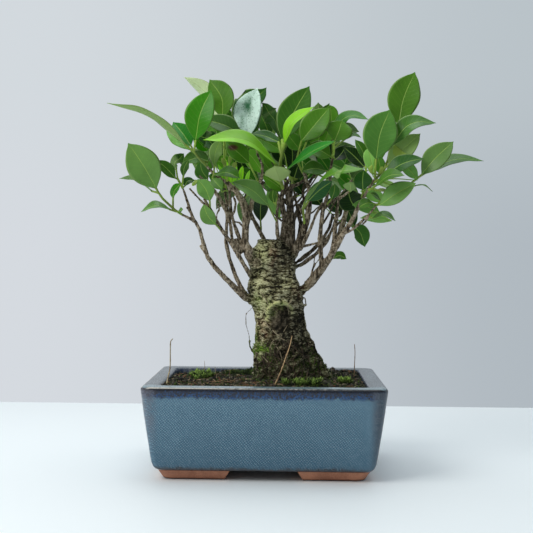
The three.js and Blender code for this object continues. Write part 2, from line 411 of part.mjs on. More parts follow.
// Every leafy shoot that the photograph shows: the stem's points from wood to end, then its leaves. A leaf
// that grows straight from the wood has no stem.
const FRONT_SHOOTS = {
  left_high: [[[206.5, 166, -38], [200, 159.5, -42], [194, 152, -46]], [
    leaf([194, 152, -46], [195.5, 141, -50], [200.5, 113, -54], [211.5, 90, -50], 25, [-0.15, -1, 0.15]),
    leaf([194.5, 152.5, -45.5], [191, 146, -44], [183, 134, -40], [173, 122, -34], 18, [0.2, -0.9, 0.5]),
    leaf([194, 152, -46], [186.5, 146, -50], [150, 116.5, -58], [107, 103, -64], 20, [-0.1, 0.08, 1]),
    leaf([202, 161.5, -41], [209, 162, -33], [198, 158, -31], [182, 163, -34], 17, [0, -0.75, 0.7]),
  ]],
  left_low: [[[182, 214.5, -36], [177, 212, -38], [173, 208, -40], [163, 199, -44], [158, 192, -46]], [
    leaf([158.5, 193, -46], [156.5, 189, -47], [143.5, 166, -52], [128, 143, -52], 28, [0, -1, 0.2]),
    leaf([158.5, 193, -46], [152.5, 191.5, -43], [136, 180, -37], [119.3, 178.5, -34], 13, [0, 0.3, 1]),
    leaf([176, 211.5, -38], [170, 209.5, -42], [156, 205.5, -46], [141, 212, -46], 15, [0, -0.45, 0.9]),
    leaf([173, 208, -40], [173, 198, -40], [174.5, 191, -38], [181, 183.5, -42], 9, [-0.5, -0.8, 0.2]),
    leaf([178, 212.5, -37.6], [178.5, 211.8, -39.5], [180.5, 210.5, -42], [183, 209, -44], 6, [0, -0.9, 0.5]),
  ]],
  left_mid: [[[183, 188.5, -34], [180, 183, -35], [177.5, 178.5, -36]], [
    leaf([178, 179.5, -36], [175.5, 178.5, -39], [167, 169, -43], [156.5, 160, -45], 12, [0, -0.8, 0.55]),
    leaf([177.5, 178.5, -36], [176.3, 170, -34], [175.5, 162, -29], [184, 153.5, -22], 12, [0.3, 0.8, 0.5]),
    leaf([182, 187, -34.5], [183.3, 176, -38], [184, 168, -41], [188.5, 159.5, -43], 8, [0.5, -0.7, 0]),
    leaf([182.5, 188, -34], [184.5, 186, -30], [188, 181, -27], [194.5, 180, -24], 9, [0, -0.75, 0.6]),
  ]],
  left_hanging: [null, [
    leaf([210, 208.5, -28], [210, 201, -34], [206, 190, -36], [197.5, 179, -34], 15, [0, -1, 0.1]),
  ]],
  left_round: [null, [
    leaf([222, 231, -23], [215.8, 224.5, -28], [207.5, 215.5, -31], [203.5, 204, -32], 13, [-0.2, -1, 0]),
  ]],
  left_dark: [[[208, 184.5, -25.5], [206, 181, -22]], [
    leaf([206.8, 182.5, -23.5], [208, 179, -20], [202.5, 171.5, -20], [200, 162, -22], 14, [-0.3, -0.9, -0.2]),
    leaf([206.8, 182.5, -23.5], [199, 181, -18], [195.5, 182.5, -16], [192, 186, -16], 6, [0, -0.8, 0.5]),
  ]],
  left_node: [[[215, 174.5, -32], [213.5, 172, -38]], [
    leaf([213.8, 172.5, -37], [214.5, 166, -43], [215, 153, -48], [221, 139, -46], 12, [0.5, -0.8, 0.5]),
    leaf([213.8, 172.8, -36.5], [214, 175.5, -42], [226, 172.5, -49], [240, 178.5, -53], 18, [0, -0.6, 0.8]),
    leaf([214.3, 173.2, -35], [212, 178.5, -36], [217, 184, -39], [222, 190, -40], 12, [0.2, -0.8, 0.5]),
  ]],
  left_buds: [[[227, 183.5, -20.5], [227, 174, -30], [229, 167, -34]], [
    leaf([227.5, 172, -31], [225.5, 166, -35], [224, 162, -37], [221.5, 157.5, -38], 5, [0, -0.8, 0.6]),
    leaf([229, 167, -34], [229.5, 163, -35], [230, 159.5, -36], [229.5, 155.5, -37], 4, [0.3, -0.8, 0.5]),
    leaf([228.5, 168.5, -33], [232.5, 168, -35], [234.5, 165.5, -37], [236, 161.5, -38], 5, [0.3, -0.8, 0.5]),
  ]],
  left_crown: [[[226, 189, 4], [224.5, 172, 0], [224.5, 150, -6], [223.5, 134, -10], [222.5, 125, -12]], [
    leaf([223, 129, -11], [218, 118, -4], [206.5, 93, 4], [184, 77, 6], 19, [0.4, 0.7, 0.7]),
    leaf([222.5, 125, -12], [222, 119, -15], [222, 99, -18], [209.5, 79.5, -14], 24, [-0.3, -0.95, 0.2]),
    leaf([224.3, 146, -7], [222, 149, -12], [210.5, 143, -22], [196.5, 134, -28], 21, [-0.2, -0.85, 0.5]),
  ]],
  centre_crown: [[[257.5, 153.5, -29.5], [256, 146, -23], [254, 141, -19]], [
    leaf([256, 146, -23], [248.5, 138, -22], [247.5, 112, -14], [257.5, 88, -2], 24, [0, -0.8, 0.6]),
    leaf([254, 141, -19], [253.5, 137, -13], [247.5, 112, 2], [266.5, 87.5, 12], 28, [0, -1, 0.35]),
    leaf([256.8, 150, -26.5], [241, 134.5, -31], [223, 124.5, -34], [203, 120, -34], 20, [0, -0.85, 0.55]),
  ]],
  centre_brown_spot: [null, [
    leaf([259.5, 184.5, -20], [249, 163, -43], [239, 153.5, -46], [226, 142.5, -44], 18, [0, -0.8, 0.5]),
  ]],
  centre_drooping: [null, [
    leaf([276.8, 222, -9], [268.5, 205.5, -36], [251, 189.5, -45], [231.5, 182, -46], 20, [0, -0.75, 0.65]),
  ]],
  centre_dark_left: [null, [
    leaf([261.5, 235, 12], [260.5, 221.5, 13], [260.5, 208, 11], [262.5, 192, 6], 14, [0, -1, 0]),
  ]],
  centre_small: [[[278, 206, -8.5], [275.8, 203, -6]], [
    leaf([276.2, 203.6, -6.5], [273.8, 202.5, -5.5], [272.6, 197, -6], [273.2, 189, -5], 7, [0, -1, 0.2]),
    leaf([276.2, 203.6, -6.5], [277.8, 194, 5], [271, 187, 9], [263, 184.5, 12], 11, [0, -0.9, 0.4]),
  ]],
  centre_top: [[[283.5, 190, -8], [280.8, 180, -17], [280, 168, -24], [281.3, 157, -28], [283, 150, -30]], [
    leaf([280.3, 171, -22], [276.5, 165, -32], [244, 139.5, -52], [203, 140, -60], 24, [0.1, -0.62, 0.78]),
    leaf([283, 150, -30], [284.5, 144, -32], [291, 124, -38], [314, 106.5, -42], 17, [-0.55, -0.6, 0.55]),
    leaf([281.8, 154.5, -29], [282, 141, -20], [293.5, 113, -10], [309.5, 86, 0], 27, [0, -0.95, 0.3]),
    leaf([281.6, 155.5, -28.6], [279, 142.5, -24], [266, 136.5, -21], [251.5, 134, -26], 14, [0, -0.7, 0.7]),
    leaf([280.8, 180, -17], [280, 181.5, -22], [277.5, 174.5, -32], [274.5, 166, -40], 23, [0, 0.5, 0.87]),
  ]],
  centre_top_back: [[[282, 165, 42.5], [279.5, 152, 32], [277, 142, 22]], [
    leaf([277.5, 144, 25], [279, 136, 14], [273.5, 117, 8], [262, 102.5, 8], 18, [-0.7, -0.6, 0.4]),
    leaf([278.4, 147.5, 27.5], [270, 137, 29], [265.5, 124.5, 30], [261, 115.5, 32], 13, [-0.2, -1, 0]),
  ]],
  centre_dark: [[[291, 185.5, -2], [292.5, 183.5, 3]], [
    leaf([292, 184, 2], [293, 181, 6], [295.5, 173.5, 8], [298, 165, 10], 15, [0, -1, 0]),
    leaf([292, 184, 2], [291.5, 172, 14], [292.5, 156, 16], [291, 141, 18], 17, [0, -1, 0.1]),
  ]],
  right_crown: [[[303.5, 174, -12], [299.5, 166, -13], [297, 158, -14]], [
    leaf([297, 158, -14], [301, 141.5, -18], [315, 124.5, -18], [329.5, 107.5, -16], 24, [-0.1, -0.95, 0.3]),
    leaf([298.3, 162.5, -13.5], [306, 143, -4], [320, 121, 4], [329.5, 103, 8], 16, [0.2, -1, 0]),
  ]],
  right_emerald: [null, [
    leaf([290.5, 180.5, -9.5], [287, 169.5, -20], [309, 153.5, -36], [335, 141, -44], 20, [-0.1, -0.62, 0.78]),
  ]],
  right_grey: [null, [
    leaf([331, 172.5, -7], [326, 171, -14], [314, 168.5, -20], [301.5, 171.5, -22], 16, [0, -0.85, 0.5]),
  ]],
  right_drooping: [[[305, 227, -8], [303.5, 215, -16], [303, 207, -24]], [
    leaf([303, 208, -23], [304, 203.5, -29], [328, 176.5, -52], [366, 168.5, -60], 22, [0, -0.5, 0.87]),
    leaf([303.3, 210, -21], [308, 201, -22], [319.5, 190, -25], [332.5, 181, -26], 15, [0, -0.9, -0.3]),
  ]],
  right_small: [null, [
    leaf([326, 205.5, -12], [331.5, 199, -17], [334, 192, -19], [335, 183.5, -20], 10, [0.3, -1, 0]),
  ]],
  right_olive: [[[332.5, 158.5, -5], [334, 151, -12], [333.8, 144.5, -16]], [
    leaf([333.8, 144.5, -16], [334.5, 141, -18], [338.5, 131.5, -18], [342, 120.5, -14], 24, [0.1, -0.9, 0.35]),
    leaf([333.3, 153, -10], [331, 157, -14], [321.5, 151, -16], [307.5, 145, -16], 19, [0, -0.85, 0.5]),
    leaf([334, 147, -15], [333, 130, -4], [349, 116, -4], [368.5, 119.5, -8], 16, [0, -0.6, 0.8]),
    leaf([334, 148, -14], [344.5, 139.5, -8], [353, 135, -6], [361, 137.5, -8], 8, [0, -0.5, 0.85]),
    leaf([333.2, 155, -8], [335, 160, -2], [341, 154, 4], [347, 145, 8], 14, [0, -0.9, 0.3]),
  ]],
  right_inner: [[[362, 198, -38], [364, 188, -32], [365.5, 178, -28], [366, 166, -26]], [
    leaf([366, 167, -26], [364.5, 167.5, -24], [355, 157, -21], [343, 146.5, -20], 15, [-0.2, -0.7, 0.6]),
    leaf([366, 166, -26], [366, 161, -27], [362, 150, -27], [355, 139.5, -26], 12, [0.35, -0.7, 0.3]),
    leaf([365.6, 176, -27.6], [362, 171, -20], [353, 163, -8], [344.5, 165, -1], 15, [0, -0.8, 0.5]),
    leaf([363.4, 192, -34], [363, 190, -44], [362.5, 181, -48], [363.5, 169.5, -49], 16, [0.1, -1, 0.1]),
  ]],
  right_shade: [null, [
    leaf([349.5, 198.5, -4.5], [357, 209.5, -9], [350.5, 200, -11], [348, 188.5, -10], 22, [0, -0.9, -0.2]),
  ]],
  right_pale: [null, [
    leaf([349.5, 191.3, -26], [350.5, 191.5, -34], [350.5, 187, -39], [350, 182, -46], 13, [0, 0.4, 0.9]),
  ]],
  right_low: [[[376, 205.5, -44], [381, 202.5, -45], [390, 197.5, -42], [402, 190, -41], [412, 182.5, -43], [419.5, 176.5, -45]], [
    leaf([377.5, 204.5, -44.5], [379.5, 205.5, -50], [396, 194, -56], [416, 183, -58], 19, [0, -0.85, 0.5]),
    leaf([419.5, 176.5, -45], [421.5, 175, -48], [434.5, 159, -51], [453.5, 141.5, -47], 20, [0, -0.85, 0.5]),
    leaf([418.5, 177.3, -44.8], [424.5, 173.5, -40], [455, 159.5, -34], [483.5, 161, -30], 17, [0, -0.55, 0.85]),
    leaf([409, 184.7, -42.4], [414.5, 185.8, -40], [424, 185.2, -38], [432.5, 191.5, -38], 7, [0, -0.1, 1]),
    leaf([377.2, 204.6, -44.6], [373, 203.5, -48], [366.5, 203.3, -50], [358.8, 207.5, -50], 12, [0, -0.7, 0.7]),
    leaf([379, 203.7, -44.8], [380, 200, -47], [376, 196.5, -49], [370.5, 193, -51], 8, [0, -0.6, 0.7]),
  ]],
  right_curl: [null, [
    leaf([368.5, 215, -40], [372, 218.5, -42], [384, 214.5, -45], [395.5, 221, -46], 13, [0, -0.4, 0.92]),
  ]],
  right_behind: [null, [
    leaf([350, 225.5, -30], [352, 226, -22], [359.5, 232, -20], [365, 247, -20], 16, [0.3, -0.9, 0.3]),
  ]],
  right_lowest: [null, [
    leaf([329.5, 257.5, -17], [333.5, 258.5, -11], [339.5, 255.5, -10], [346.5, 259, -9], 9, [0, -0.8, 0.6]),
  ]],
  right_flat: [[[375, 178.5, -42], [375.3, 172, -43], [375.3, 166.5, -44]], [
    leaf([375.3, 167, -44], [376, 160, -45], [380, 134, -46], [390, 109.5, -40], 29, [0, -1, 0.15]),
    leaf([375.2, 174, -42.7], [372, 173, -45], [370.5, 169.5, -46], [372.5, 165, -47], 5, [0, -1, 0]),
    leaf([375.2, 174, -42.7], [379, 174.5, -41], [381, 171, -41], [382.5, 166, -41], 5, [0, -1, 0]),
  ]],
  right_high: [[[376.5, 178, -41], [382.5, 172.5, -38], [387, 163, -37], [389.5, 152, -35], [391.5, 142, -30], [396.5, 131, -24]], [
    leaf([396.5, 131, -24], [398.5, 126.5, -22], [403, 100, -16], [415, 72, -6], 28, [0, -1, 0.2]),
    leaf([389.5, 152, -35], [391, 146, -40], [411, 123.5, -42], [436, 123, -36], 19, [0, -0.7, 0.72]),
    leaf([384.5, 169, -37.5], [388.5, 165, -39], [404, 148.5, -39], [420.5, 133.5, -37], 20, [0, -0.85, 0.5]),
  ]],
  right_mid: [null, [
    leaf([372.5, 183.5, -41], [384.5, 176.5, -50], [403, 163.5, -54], [424, 158.5, -54], 19, [0, -0.7, 0.72]),
  ]],
  right_light: [[[368, 190, -40], [372, 188.5, -47]], [
    leaf([371.5, 188.7, -46], [375.5, 186, -53], [390, 175.5, -62], [404.5, 175.5, -66], 17, [0, -0.65, 0.75]),
    leaf([371.5, 188.7, -46], [376, 190.5, -48], [382, 190.2, -49], [388, 190.5, -50], 5, [0, -0.7, 0.7]),
  ]],
};

// The back of the crown: each stem starts on the wood, and its leaves follow one another round it by the
// golden angle, shorter towards its end.
const GOLDEN_ANGLE = THREE.MathUtils.degToRad(137.5);
const BACK_SHOOTS = {
  back_top: { stem: [[281, 152, 46], [280, 147, 54], [279, 141, 62]], leaves: 4, turn: 2.2 },
  back_left_end: { stem: [[216, 150, 55], [213, 146, 62], [212, 140, 70]], leaves: 4, turn: 2.6 },
  back_left_side: { stem: [[243, 168, 48], [241, 161, 56], [239, 155, 64]], leaves: 4, turn: 0.8 },
  back_right_end: { stem: [[320, 147, 54], [320, 142, 61], [319, 137, 69]], leaves: 4, turn: 3.0 },
  back_right_side: { stem: [[313, 178, 44], [322, 172, 52], [330, 165, 58]], leaves: 4, turn: 4.2 },
  back_low_end: { stem: [[322, 182, 59], [330, 180, 65], [336, 178, 71]], leaves: 3, turn: 0.95 },
  back_low_left_end: { stem: [[260, 184, 60], [252, 182.5, 68], [247, 181, 75]], leaves: 4, turn: 4.4 },
};

function backShoot({ stem, leaves, turn }) {
  const curve = new THREE.CatmullRomCurve3(stem.map(seen));
  const list = [];
  for (let i = 0; i < leaves; i++) {
    const t = 0.3 + (0.7 * i) / (leaves - 1);
    const stalk = curve.getPointAt(t);
    const along = curve.getTangentAt(t);
    const side = vec(0, 0, 1).cross(along).normalize().applyAxisAngle(along, turn + i * GOLDEN_ANGLE);
    const out = side.clone().multiplyScalar(0.85).addScaledVector(along, 0.55).normalize();
    const long = 41 - 2 * i;
    const reach = (share, sag) => stalk.clone().addScaledVector(out, long * share).add(vec(0, 0, -sag));
    list.push({
      stalk, base: reach(0.2, 0), middle: reach(0.62, -1.5), tip: reach(1.12, 6), wide: 21 - i,
      face: along.clone().addScaledVector(side, -0.4).add(vec(0, 0, 0.5)).normalize(),
    });
  }
  return [stem, list];
}

function makeShoot([stem, leaves], woodClearance) {
  const solids = leaves.map(leafSolid);
  if (stem) {
    solids.push(toSolid(tube(stem.map(seen), [SHOOT_RADIUS, SHOOT_RADIUS * 0.85], 5, stem.length - 1)));
  }
  return largest(united(solids).subtract(woodClearance));
}

// ---- dry stems standing in the soil and leaning on the trunk -----------------------------------------------
const DRY_STEMS = {
  dry_stem_left: [0.65, [[166, 388, -40], [168, 377, -26], [170, 368, -20], [170.3, 352, -18], [170.6, 342, -18], [173, 338.5, -18]]],
  dry_straw: [0.6, [[274, 387, -44], [281, 371, -41], [286, 357, -36], [290, 345, -31], [292, 335.5, -28]]],
  dry_stem_right: [0.5, [[354, 380, 28], [354.5, 366, 28], [355, 353, 28], [354.5, 344, 28]]],
};

// ---- assembly ----------------------------------------------------------------------------------------------
const GLAZE = 0x4b738c;
const SOIL_BROWN = 0x3a2c1e;
const MOSS_GREEN = 0x5d8a2c;
const BARK = 0x6b5f4a;
const LEAF_GREEN = 0x3f7a2e;
const STRAW = 0xb8a27a;

const wood = makeWood(0);
const woodClearance = makeWood(GAP);
const dryStems = Object.entries(DRY_STEMS).map(([name, [radius, points]]) => {
  const solid = (extra) => toSolid(tube(points.map(seen), [radius, radius * 0.8], 5, points.length + 1, extra));
  return { name, solid: solid(0), socket: solid(GAP) };
});

addPiece('pot', toGeometry(makePot()), GLAZE, 0.3);
for (const [side, word] of [[-1, 'left'], [1, 'right']]) {
  addPiece(`drain_mesh_${word}`, makeDrainMesh(side), 0x222222, 0.7);
  addPiece(`mesh_wire_${word}`, makeWireClip(side), 0xa86a3c, 0.4);
}
const sockets = united([woodClearance, ...dryStems.map((stem) => stem.socket)]);
addPiece('soil', toGeometry(makeSoil().subtract(sockets)), SOIL_BROWN, 0.95);

const MOSS_PATCHES = {
  moss_left: [-58, 12, 12, 20, 4, 0.4], moss_front: [32, -43, 22, 8, 3.5, 1.7], moss_right: [69, -22, 9, 13, 3.5, 3.1],
  moss_back: [-20, 38, 26, 12, 3.5, 4.4],
};
for (const [name, sizes] of Object.entries(MOSS_PATCHES)) {
  addPiece(name, toGeometry(largest(toSolid(makeMoss(...sizes)).subtract(sockets))), MOSS_GREEN, 0.9);
}
dryStems.forEach(({ name, solid }) => addPiece(name, toGeometry(solid), STRAW, 0.8));
addPiece('trunk_and_branches', toGeometry(wood), BARK, 0.85);
for (const [name, shoot] of Object.entries(FRONT_SHOOTS)) {
  addPiece(`leaves_${name}`, toGeometry(makeShoot(shoot, woodClearance)), LEAF_GREEN, 0.35);
}
for (const [name, plan] of Object.entries(BACK_SHOOTS)) {
  addPiece(`leaves_${name}`, toGeometry(makeShoot(backShoot(plan), woodClearance)), LEAF_GREEN, 0.35);
}

// The origin is the middle of the whole tree's box, on the ground under the feet.
const box = new THREE.Box3().setFromObject(root);
root.position.set(-(box.min.x + box.max.x) / 2, -(box.min.y + box.max.y) / 2, -box.min.z);

export default root;
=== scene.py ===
"""A small fig grown as a bonsai in a glazed rectangular pot: the fine surfaces over its CAD frame (Blender 4.5)."""

import bmesh
import bpy
import numpy as np
from mathutils import Matrix, Vector
from mathutils.bvhtree import BVHTree


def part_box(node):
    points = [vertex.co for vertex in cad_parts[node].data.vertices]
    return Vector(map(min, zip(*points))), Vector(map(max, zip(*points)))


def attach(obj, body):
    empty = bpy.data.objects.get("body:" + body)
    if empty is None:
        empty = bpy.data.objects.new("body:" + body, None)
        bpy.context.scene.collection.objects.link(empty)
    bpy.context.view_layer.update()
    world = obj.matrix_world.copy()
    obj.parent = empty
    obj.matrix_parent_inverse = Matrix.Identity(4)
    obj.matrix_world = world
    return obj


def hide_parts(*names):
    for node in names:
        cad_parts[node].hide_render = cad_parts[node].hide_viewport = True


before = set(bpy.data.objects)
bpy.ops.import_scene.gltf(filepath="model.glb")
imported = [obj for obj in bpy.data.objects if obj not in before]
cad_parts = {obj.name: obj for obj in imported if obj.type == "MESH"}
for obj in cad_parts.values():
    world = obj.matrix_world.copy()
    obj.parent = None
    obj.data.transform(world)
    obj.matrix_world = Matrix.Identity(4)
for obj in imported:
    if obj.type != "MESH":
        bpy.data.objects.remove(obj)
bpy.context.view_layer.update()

# ---- view: the eye stands about 0.8 m in front of the pot and a little above its rim, as in the photograph. It looks
# level, with the picture's middle shifted instead, and it is turned and rolled a little.
MM = 0.001
pot_low, pot_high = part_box("pot")
# Heights are counted from the level that the eye was measured from. The feet end this far below it.
FEET_DEPTH = 3.6
POT_MIDDLE = np.array([*(pot_low.xy + pot_high.xy) / 2, FEET_DEPTH * MM])
EYE = POT_MIDDLE + [0.0174, -0.818, 0.1828]
FOCAL, HORIZON_V, PICTURE = 910, 257, 533
YAW, ROLL = np.radians(1.24), np.radians(0.45)
AHEAD = np.array([-np.sin(YAW), np.cos(YAW), 0.0])
RIGHT = np.array([np.cos(YAW), np.sin(YAW), 0.0])
UP = np.array([0.0, 0.0, 1.0])
LENS_RIGHT = RIGHT * np.cos(ROLL) + UP * np.sin(ROLL)
LENS_UP = UP * np.cos(ROLL) - RIGHT * np.sin(ROLL)


def add_object(name, data):
    """A new object in the scene."""
    thing = bpy.data.objects.new(name, data)
    bpy.context.scene.collection.objects.link(thing)
    return thing


camera = add_object("photo_view", bpy.data.cameras.new("photo_view"))
camera.data.lens = camera.data.sensor_width * FOCAL / PICTURE
camera.data.shift_y = (HORIZON_V - PICTURE / 2) / PICTURE
lens_axes = np.transpose([LENS_RIGHT, LENS_UP, -AHEAD])
camera.matrix_world = Matrix([(*row, place) for row, place in zip(lens_axes, EYE)] + [(0, 0, 0, 1)])
bpy.context.scene.camera = camera
bpy.context.scene.view_settings.view_transform = "Standard"


# ---- pot: one fired clay body with leaning walls and a flat flanged rim. Thick blue glaze has run down from the rim,
# whose outer edge carries a thin painted highlight, and it breaks grey and brown over the corners and the foot line.
def light(red, green, blue):
    """A colour of the photograph as light: each part over 255, raised to 2.2."""
    return (np.array([red, green, blue]) / 255) ** 2.2


def tone(red, green, blue):
    """The same light with full cover, as a shader's socket takes it."""
    return (*light(red, green, blue), 1.0)


class Signal:
    """What one socket of a material's nodes gives out. Arithmetic on signals adds Math nodes."""

    def __init__(self, tree, socket=None):
        self.tree, self.socket = tree, socket

    def node(self, kind, settings=None, inputs=None, output=0):
        """Adds a node of this type. Its settings come first, then the values or links of its sockets."""
        node = self.tree.nodes.new("ShaderNode" + kind)
        for key, value in (settings or {}).items():
            if key == "stops":
                (start, colour), *middle, (end, last) = value
                node.color_ramp.elements[0].position, node.color_ramp.elements[0].color = start, colour
                node.color_ramp.elements[1].position, node.color_ramp.elements[1].color = end, last
                for place, colour in middle:
                    node.color_ramp.elements.new(place).color = colour
            else:
                setattr(node, key, value)
        for key, value in (inputs or {}).items():
            if isinstance(value, Signal):
                self.tree.links.new(value.socket, node.inputs[key])
            else:
                node.inputs[key].default_value = value
        return Signal(self.tree, node.outputs[output])

    def math(self, operation, *values):
        """A Math node on the given values."""
        return self.node("Math", {"operation": operation}, dict(enumerate(values)))

    def __add__(self, other):
        return self.math("ADD", self, other)

    def __sub__(self, other):
        return self.math("SUBTRACT", self, other)

    def __rsub__(self, other):
        return self.math("SUBTRACT", other, self)

    def __mul__(self, other):
        return self.math("MULTIPLY", self, other)

    def __truediv__(self, other):
        return self.math("DIVIDE", self, other)

    def __abs__(self):
        return self.math("ABSOLUTE", self)

    __radd__, __rmul__ = __add__, __mul__

    def ramp(self, low, high):
        """Runs smoothly from 0 at low to 1 at high, and stays there outside."""
        turned = low > high
        low, high = (high, low) if turned else (low, high)
        mask = self.node("MapRange", {"interpolation_type": "SMOOTHSTEP"}, {0: self, 1: low, 2: high})
        return 1 - mask if turned else mask

    def mix(self, without, with_it):
        """The first colour where the signal is 0, the second where it is 1."""
        return self.node("Mix", {"data_type": "RGBA"}, {0: self, 6: without, 7: with_it}, 2)

    def parts(self):
        """The three numbers of a vector."""
        return [self.node("SeparateXYZ", None, {0: self}, i) for i in range(3)]

    def noise(self, size, detail=2.0, stretch=(1, 1, 1), rough=0.5):
        """Cloudy noise on this vector, about 0.5 in the middle, with spots of the given size in metres."""
        scaled = self.node("Mapping", None, {0: self, 3: [1 / (size * s) for s in stretch]})
        return scaled.node("TexNoise", None, {"Vector": scaled, "Scale": 1.0, "Detail": detail, "Roughness": rough})

    def cells(self, size, stretch=(1, 1, 1)):
        """The distance to the nearest of many scattered points, in cells of the given size in metres."""
        scaled = self.node("Mapping", None, {0: self, 3: [1 / (size * s) for s in stretch]})
        return scaled.node("TexVoronoi", None, {"Vector": scaled, "Scale": 1.0})

    def stored(self, name, output=2):
        """What a piece stores at its points under a name: a colour (0), a vector (1) or a number (2)."""
        return self.node("Attribute", {"attribute_name": name}, output=output)

    def finish(self, base, roughness, height=None, relief=0.0, **fixed):
        """Ends the material with one Principled shader. Relief is the height's size in metres."""
        inputs = {"Base Color": base, "Roughness": roughness, **{k.replace("_", " "): v for k, v in fixed.items()}}
        if height is not None:
            inputs["Normal"] = self.node("Bump", None, {"Strength": 1.0, "Distance": relief, "Height": height})
        shader = self.node("BsdfPrincipled", None, inputs)
        self.tree.links.new(shader.socket, self.tree.nodes.new("ShaderNodeOutputMaterial").inputs["Surface"])


def new_finish(name):
    """An empty material, and the signal of its object's own coordinates in metres."""
    material = bpy.data.materials.new(name)
    material.use_nodes = True
    material.node_tree.nodes.clear()
    return material, Signal(material.node_tree).node("TexCoord", output="Object")


def turn_outwards(mesh):
    """Turns the faces of a mesh's closed shells outwards."""
    shell = bmesh.new()
    shell.from_mesh(mesh)
    bmesh.ops.recalc_face_normals(shell, faces=shell.faces)
    shell.to_mesh(mesh)
    shell.free()


def add_piece(name, points, faces, finish, slot, *nodes, turned=True):
    """A smooth mesh at the origin that rides on the tree's one body and stands for the named CAD nodes."""
    mesh = bpy.data.meshes.new(name)
    mesh.from_pydata(points.tolist(), [], faces if isinstance(faces, list) else faces.tolist())
    mesh.shade_smooth()
    mesh.materials.append(finish)
    if turned:
        turn_outwards(mesh)
    piece = add_object(name, mesh)
    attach(piece, "root")
    if nodes:
        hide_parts(*nodes)
    return piece


def grid_faces(rows, around, start=0):
    """The quads of rows of points, each row joined into a loop, and the polygons that close both ends."""
    index = start + np.arange(rows * around).reshape(rows, around)
    beside = np.roll(index, -1, axis=1)
    quads = np.stack([index[:-1], beside[:-1], beside[1:], index[1:]], axis=-1).reshape(-1, 4)
    return quads.tolist() + [index[0, ::-1].tolist(), index[-1].tolist()]


def clumps(points, size, seed=0):
    """Smooth noise from -1 to 1: a random number at each corner of a cubic lattice, blended inside every cube."""
    spot = points / size + 31.7 * seed + 100
    cell = np.floor(spot).astype(np.int64)
    part = spot - cell
    part = part * part * (3 - 2 * part)
    total = np.zeros(len(points))
    for corner in np.ndindex(2, 2, 2):
        x, y, z = (cell + corner).T
        mixed = (x * 374761393 + y * 668265263 + z * 974634777 + seed * 1442695041) & 0xFFFFFFFF
        mixed = ((mixed ^ (mixed >> 13)) * 1274126177) & 0xFFFFFFFF
        mixed = ((mixed ^ (mixed >> 16)) * 2246822519) & 0xFFFFFFFF
        total += np.where(corner, part, 1 - part).prod(axis=1) * ((mixed >> 8) / 0x7FFFFF - 1)
    return total


def rounded_rows(half_x, half_y, radius, height, per_corner=11, per_side=20):
    """Rows of points round rounded rectangles, one row per height. A corner is a quarter circle round its own
    centre, and the sides between corners are divided evenly."""
    half_x, half_y, radius, height = (np.asarray(v, float)[:, None, None] for v in (half_x, half_y, radius, height))
    signs = np.array([[1, 1], [-1, 1], [-1, -1], [1, -1]])
    angle = np.radians(90) * (np.arange(4)[:, None] + np.linspace(0, 1, per_corner))
    x = signs[:, :1] * (half_x - radius) + radius * np.cos(angle)
    y = signs[:, 1:] * (half_y - radius) + radius * np.sin(angle)
    arcs = np.stack([x, y], axis=-1)
    share = (np.arange(1, per_side + 1) / (per_side + 1))[:, None]
    sides = arcs[:, :, -1:] * (1 - share) + np.roll(arcs[:, :, :1], -1, axis=1) * share
    loop = np.concatenate([arcs, sides], axis=2).reshape(len(half_x), -1, 2)
    return np.concatenate([loop, np.broadcast_to(height, (len(half_x), loop.shape[1], 1))], axis=2)


POT_HALF = np.array([102.5, 75.0])
# Height, inset from the rim's edge, and corner radius, from the middle of the underside over the rim to the floor.
POT_SECTION = np.array([
    [4, 73, 2], [4, 60, 5], [4, 40, 5], [4, 17.5, 5], [4.1, 15.3, 5], [4.7, 13.1, 5.1], [5.8, 11.4, 5.2],
    [7.6, 10, 5.4], [11.5, 8.6, 5.7], [18, 7.5, 6], [26, 6.4, 6.4], [38, 4.6, 6.7], [50, 2.9, 7.6], [62, 1.3, 8.4],
    [68, 0.5, 8.8], [71, 0.1, 9], [72.6, 0, 9], [73.6, 0.15, 9], [74.5, 0.7, 8.8], [75.1, 1.5, 8.4], [75.3, 2.6, 8],
    [75.2, 6, 7.5], [75.2, 11.5, 7.2], [75.1, 13.4, 7.1], [74.6, 14.4, 7], [73.6, 15.1, 7], [70, 15.6, 7],
    [60, 16.5, 7], [40, 18.4, 7], [20, 20.2, 7], [12.5, 20.9, 7], [10.3, 22, 7], [9.5, 24, 7], [9.5, 40, 7],
    [9.5, 60, 6], [9.5, 73, 2],
])
steps = np.arange(len(POT_SECTION))
fine = np.unique(np.concatenate([steps[:4], np.arange(4, 31, 0.5), steps[31:]]))
section = np.stack([np.interp(fine, steps, POT_SECTION[:, i]) for i in range(3)], axis=1)
pot_rows = rounded_rows(POT_HALF[0] - section[:, 1], POT_HALF[1] - section[:, 1], section[:, 2], section[:, 0])
# Hand finishing leaves the walls a few tenths of a millimetre uneven.
WALL_FOOT, WALL_END = 5.5, 74.9
pot_points = pot_rows.reshape(-1, 3)
uneven = np.abs(0.22 * clumps(pot_points, 34, 3) + 0.1 * clumps(pot_points, 13, 4))
leaning = (pot_points[:, 2] > WALL_FOOT) & (pot_points[:, 2] < WALL_END)
pot_points[:, :2] -= np.sign(pot_points[:, :2]) * (uneven * leaning)[:, None]
pot_points[:, 2] -= np.where(pot_points[:, 2] > WALL_END, 0.18 * np.abs(clumps(pot_points, 22, 5)), 0)

glaze, spot = new_finish("blue_glaze")
spot = spot.node("Mapping", None, {0: spot, 1: (-POT_MIDDLE).tolist()})
x, y, z = spot.parts()
run = spot.noise(0.0035, 3, (1, 1, 2.6), 0.65)
mottle = spot.noise(0.016, 3)
fleck = spot.noise(0.0021, 2, rough=0.75)
speck = spot.noise(0.0010, 1)
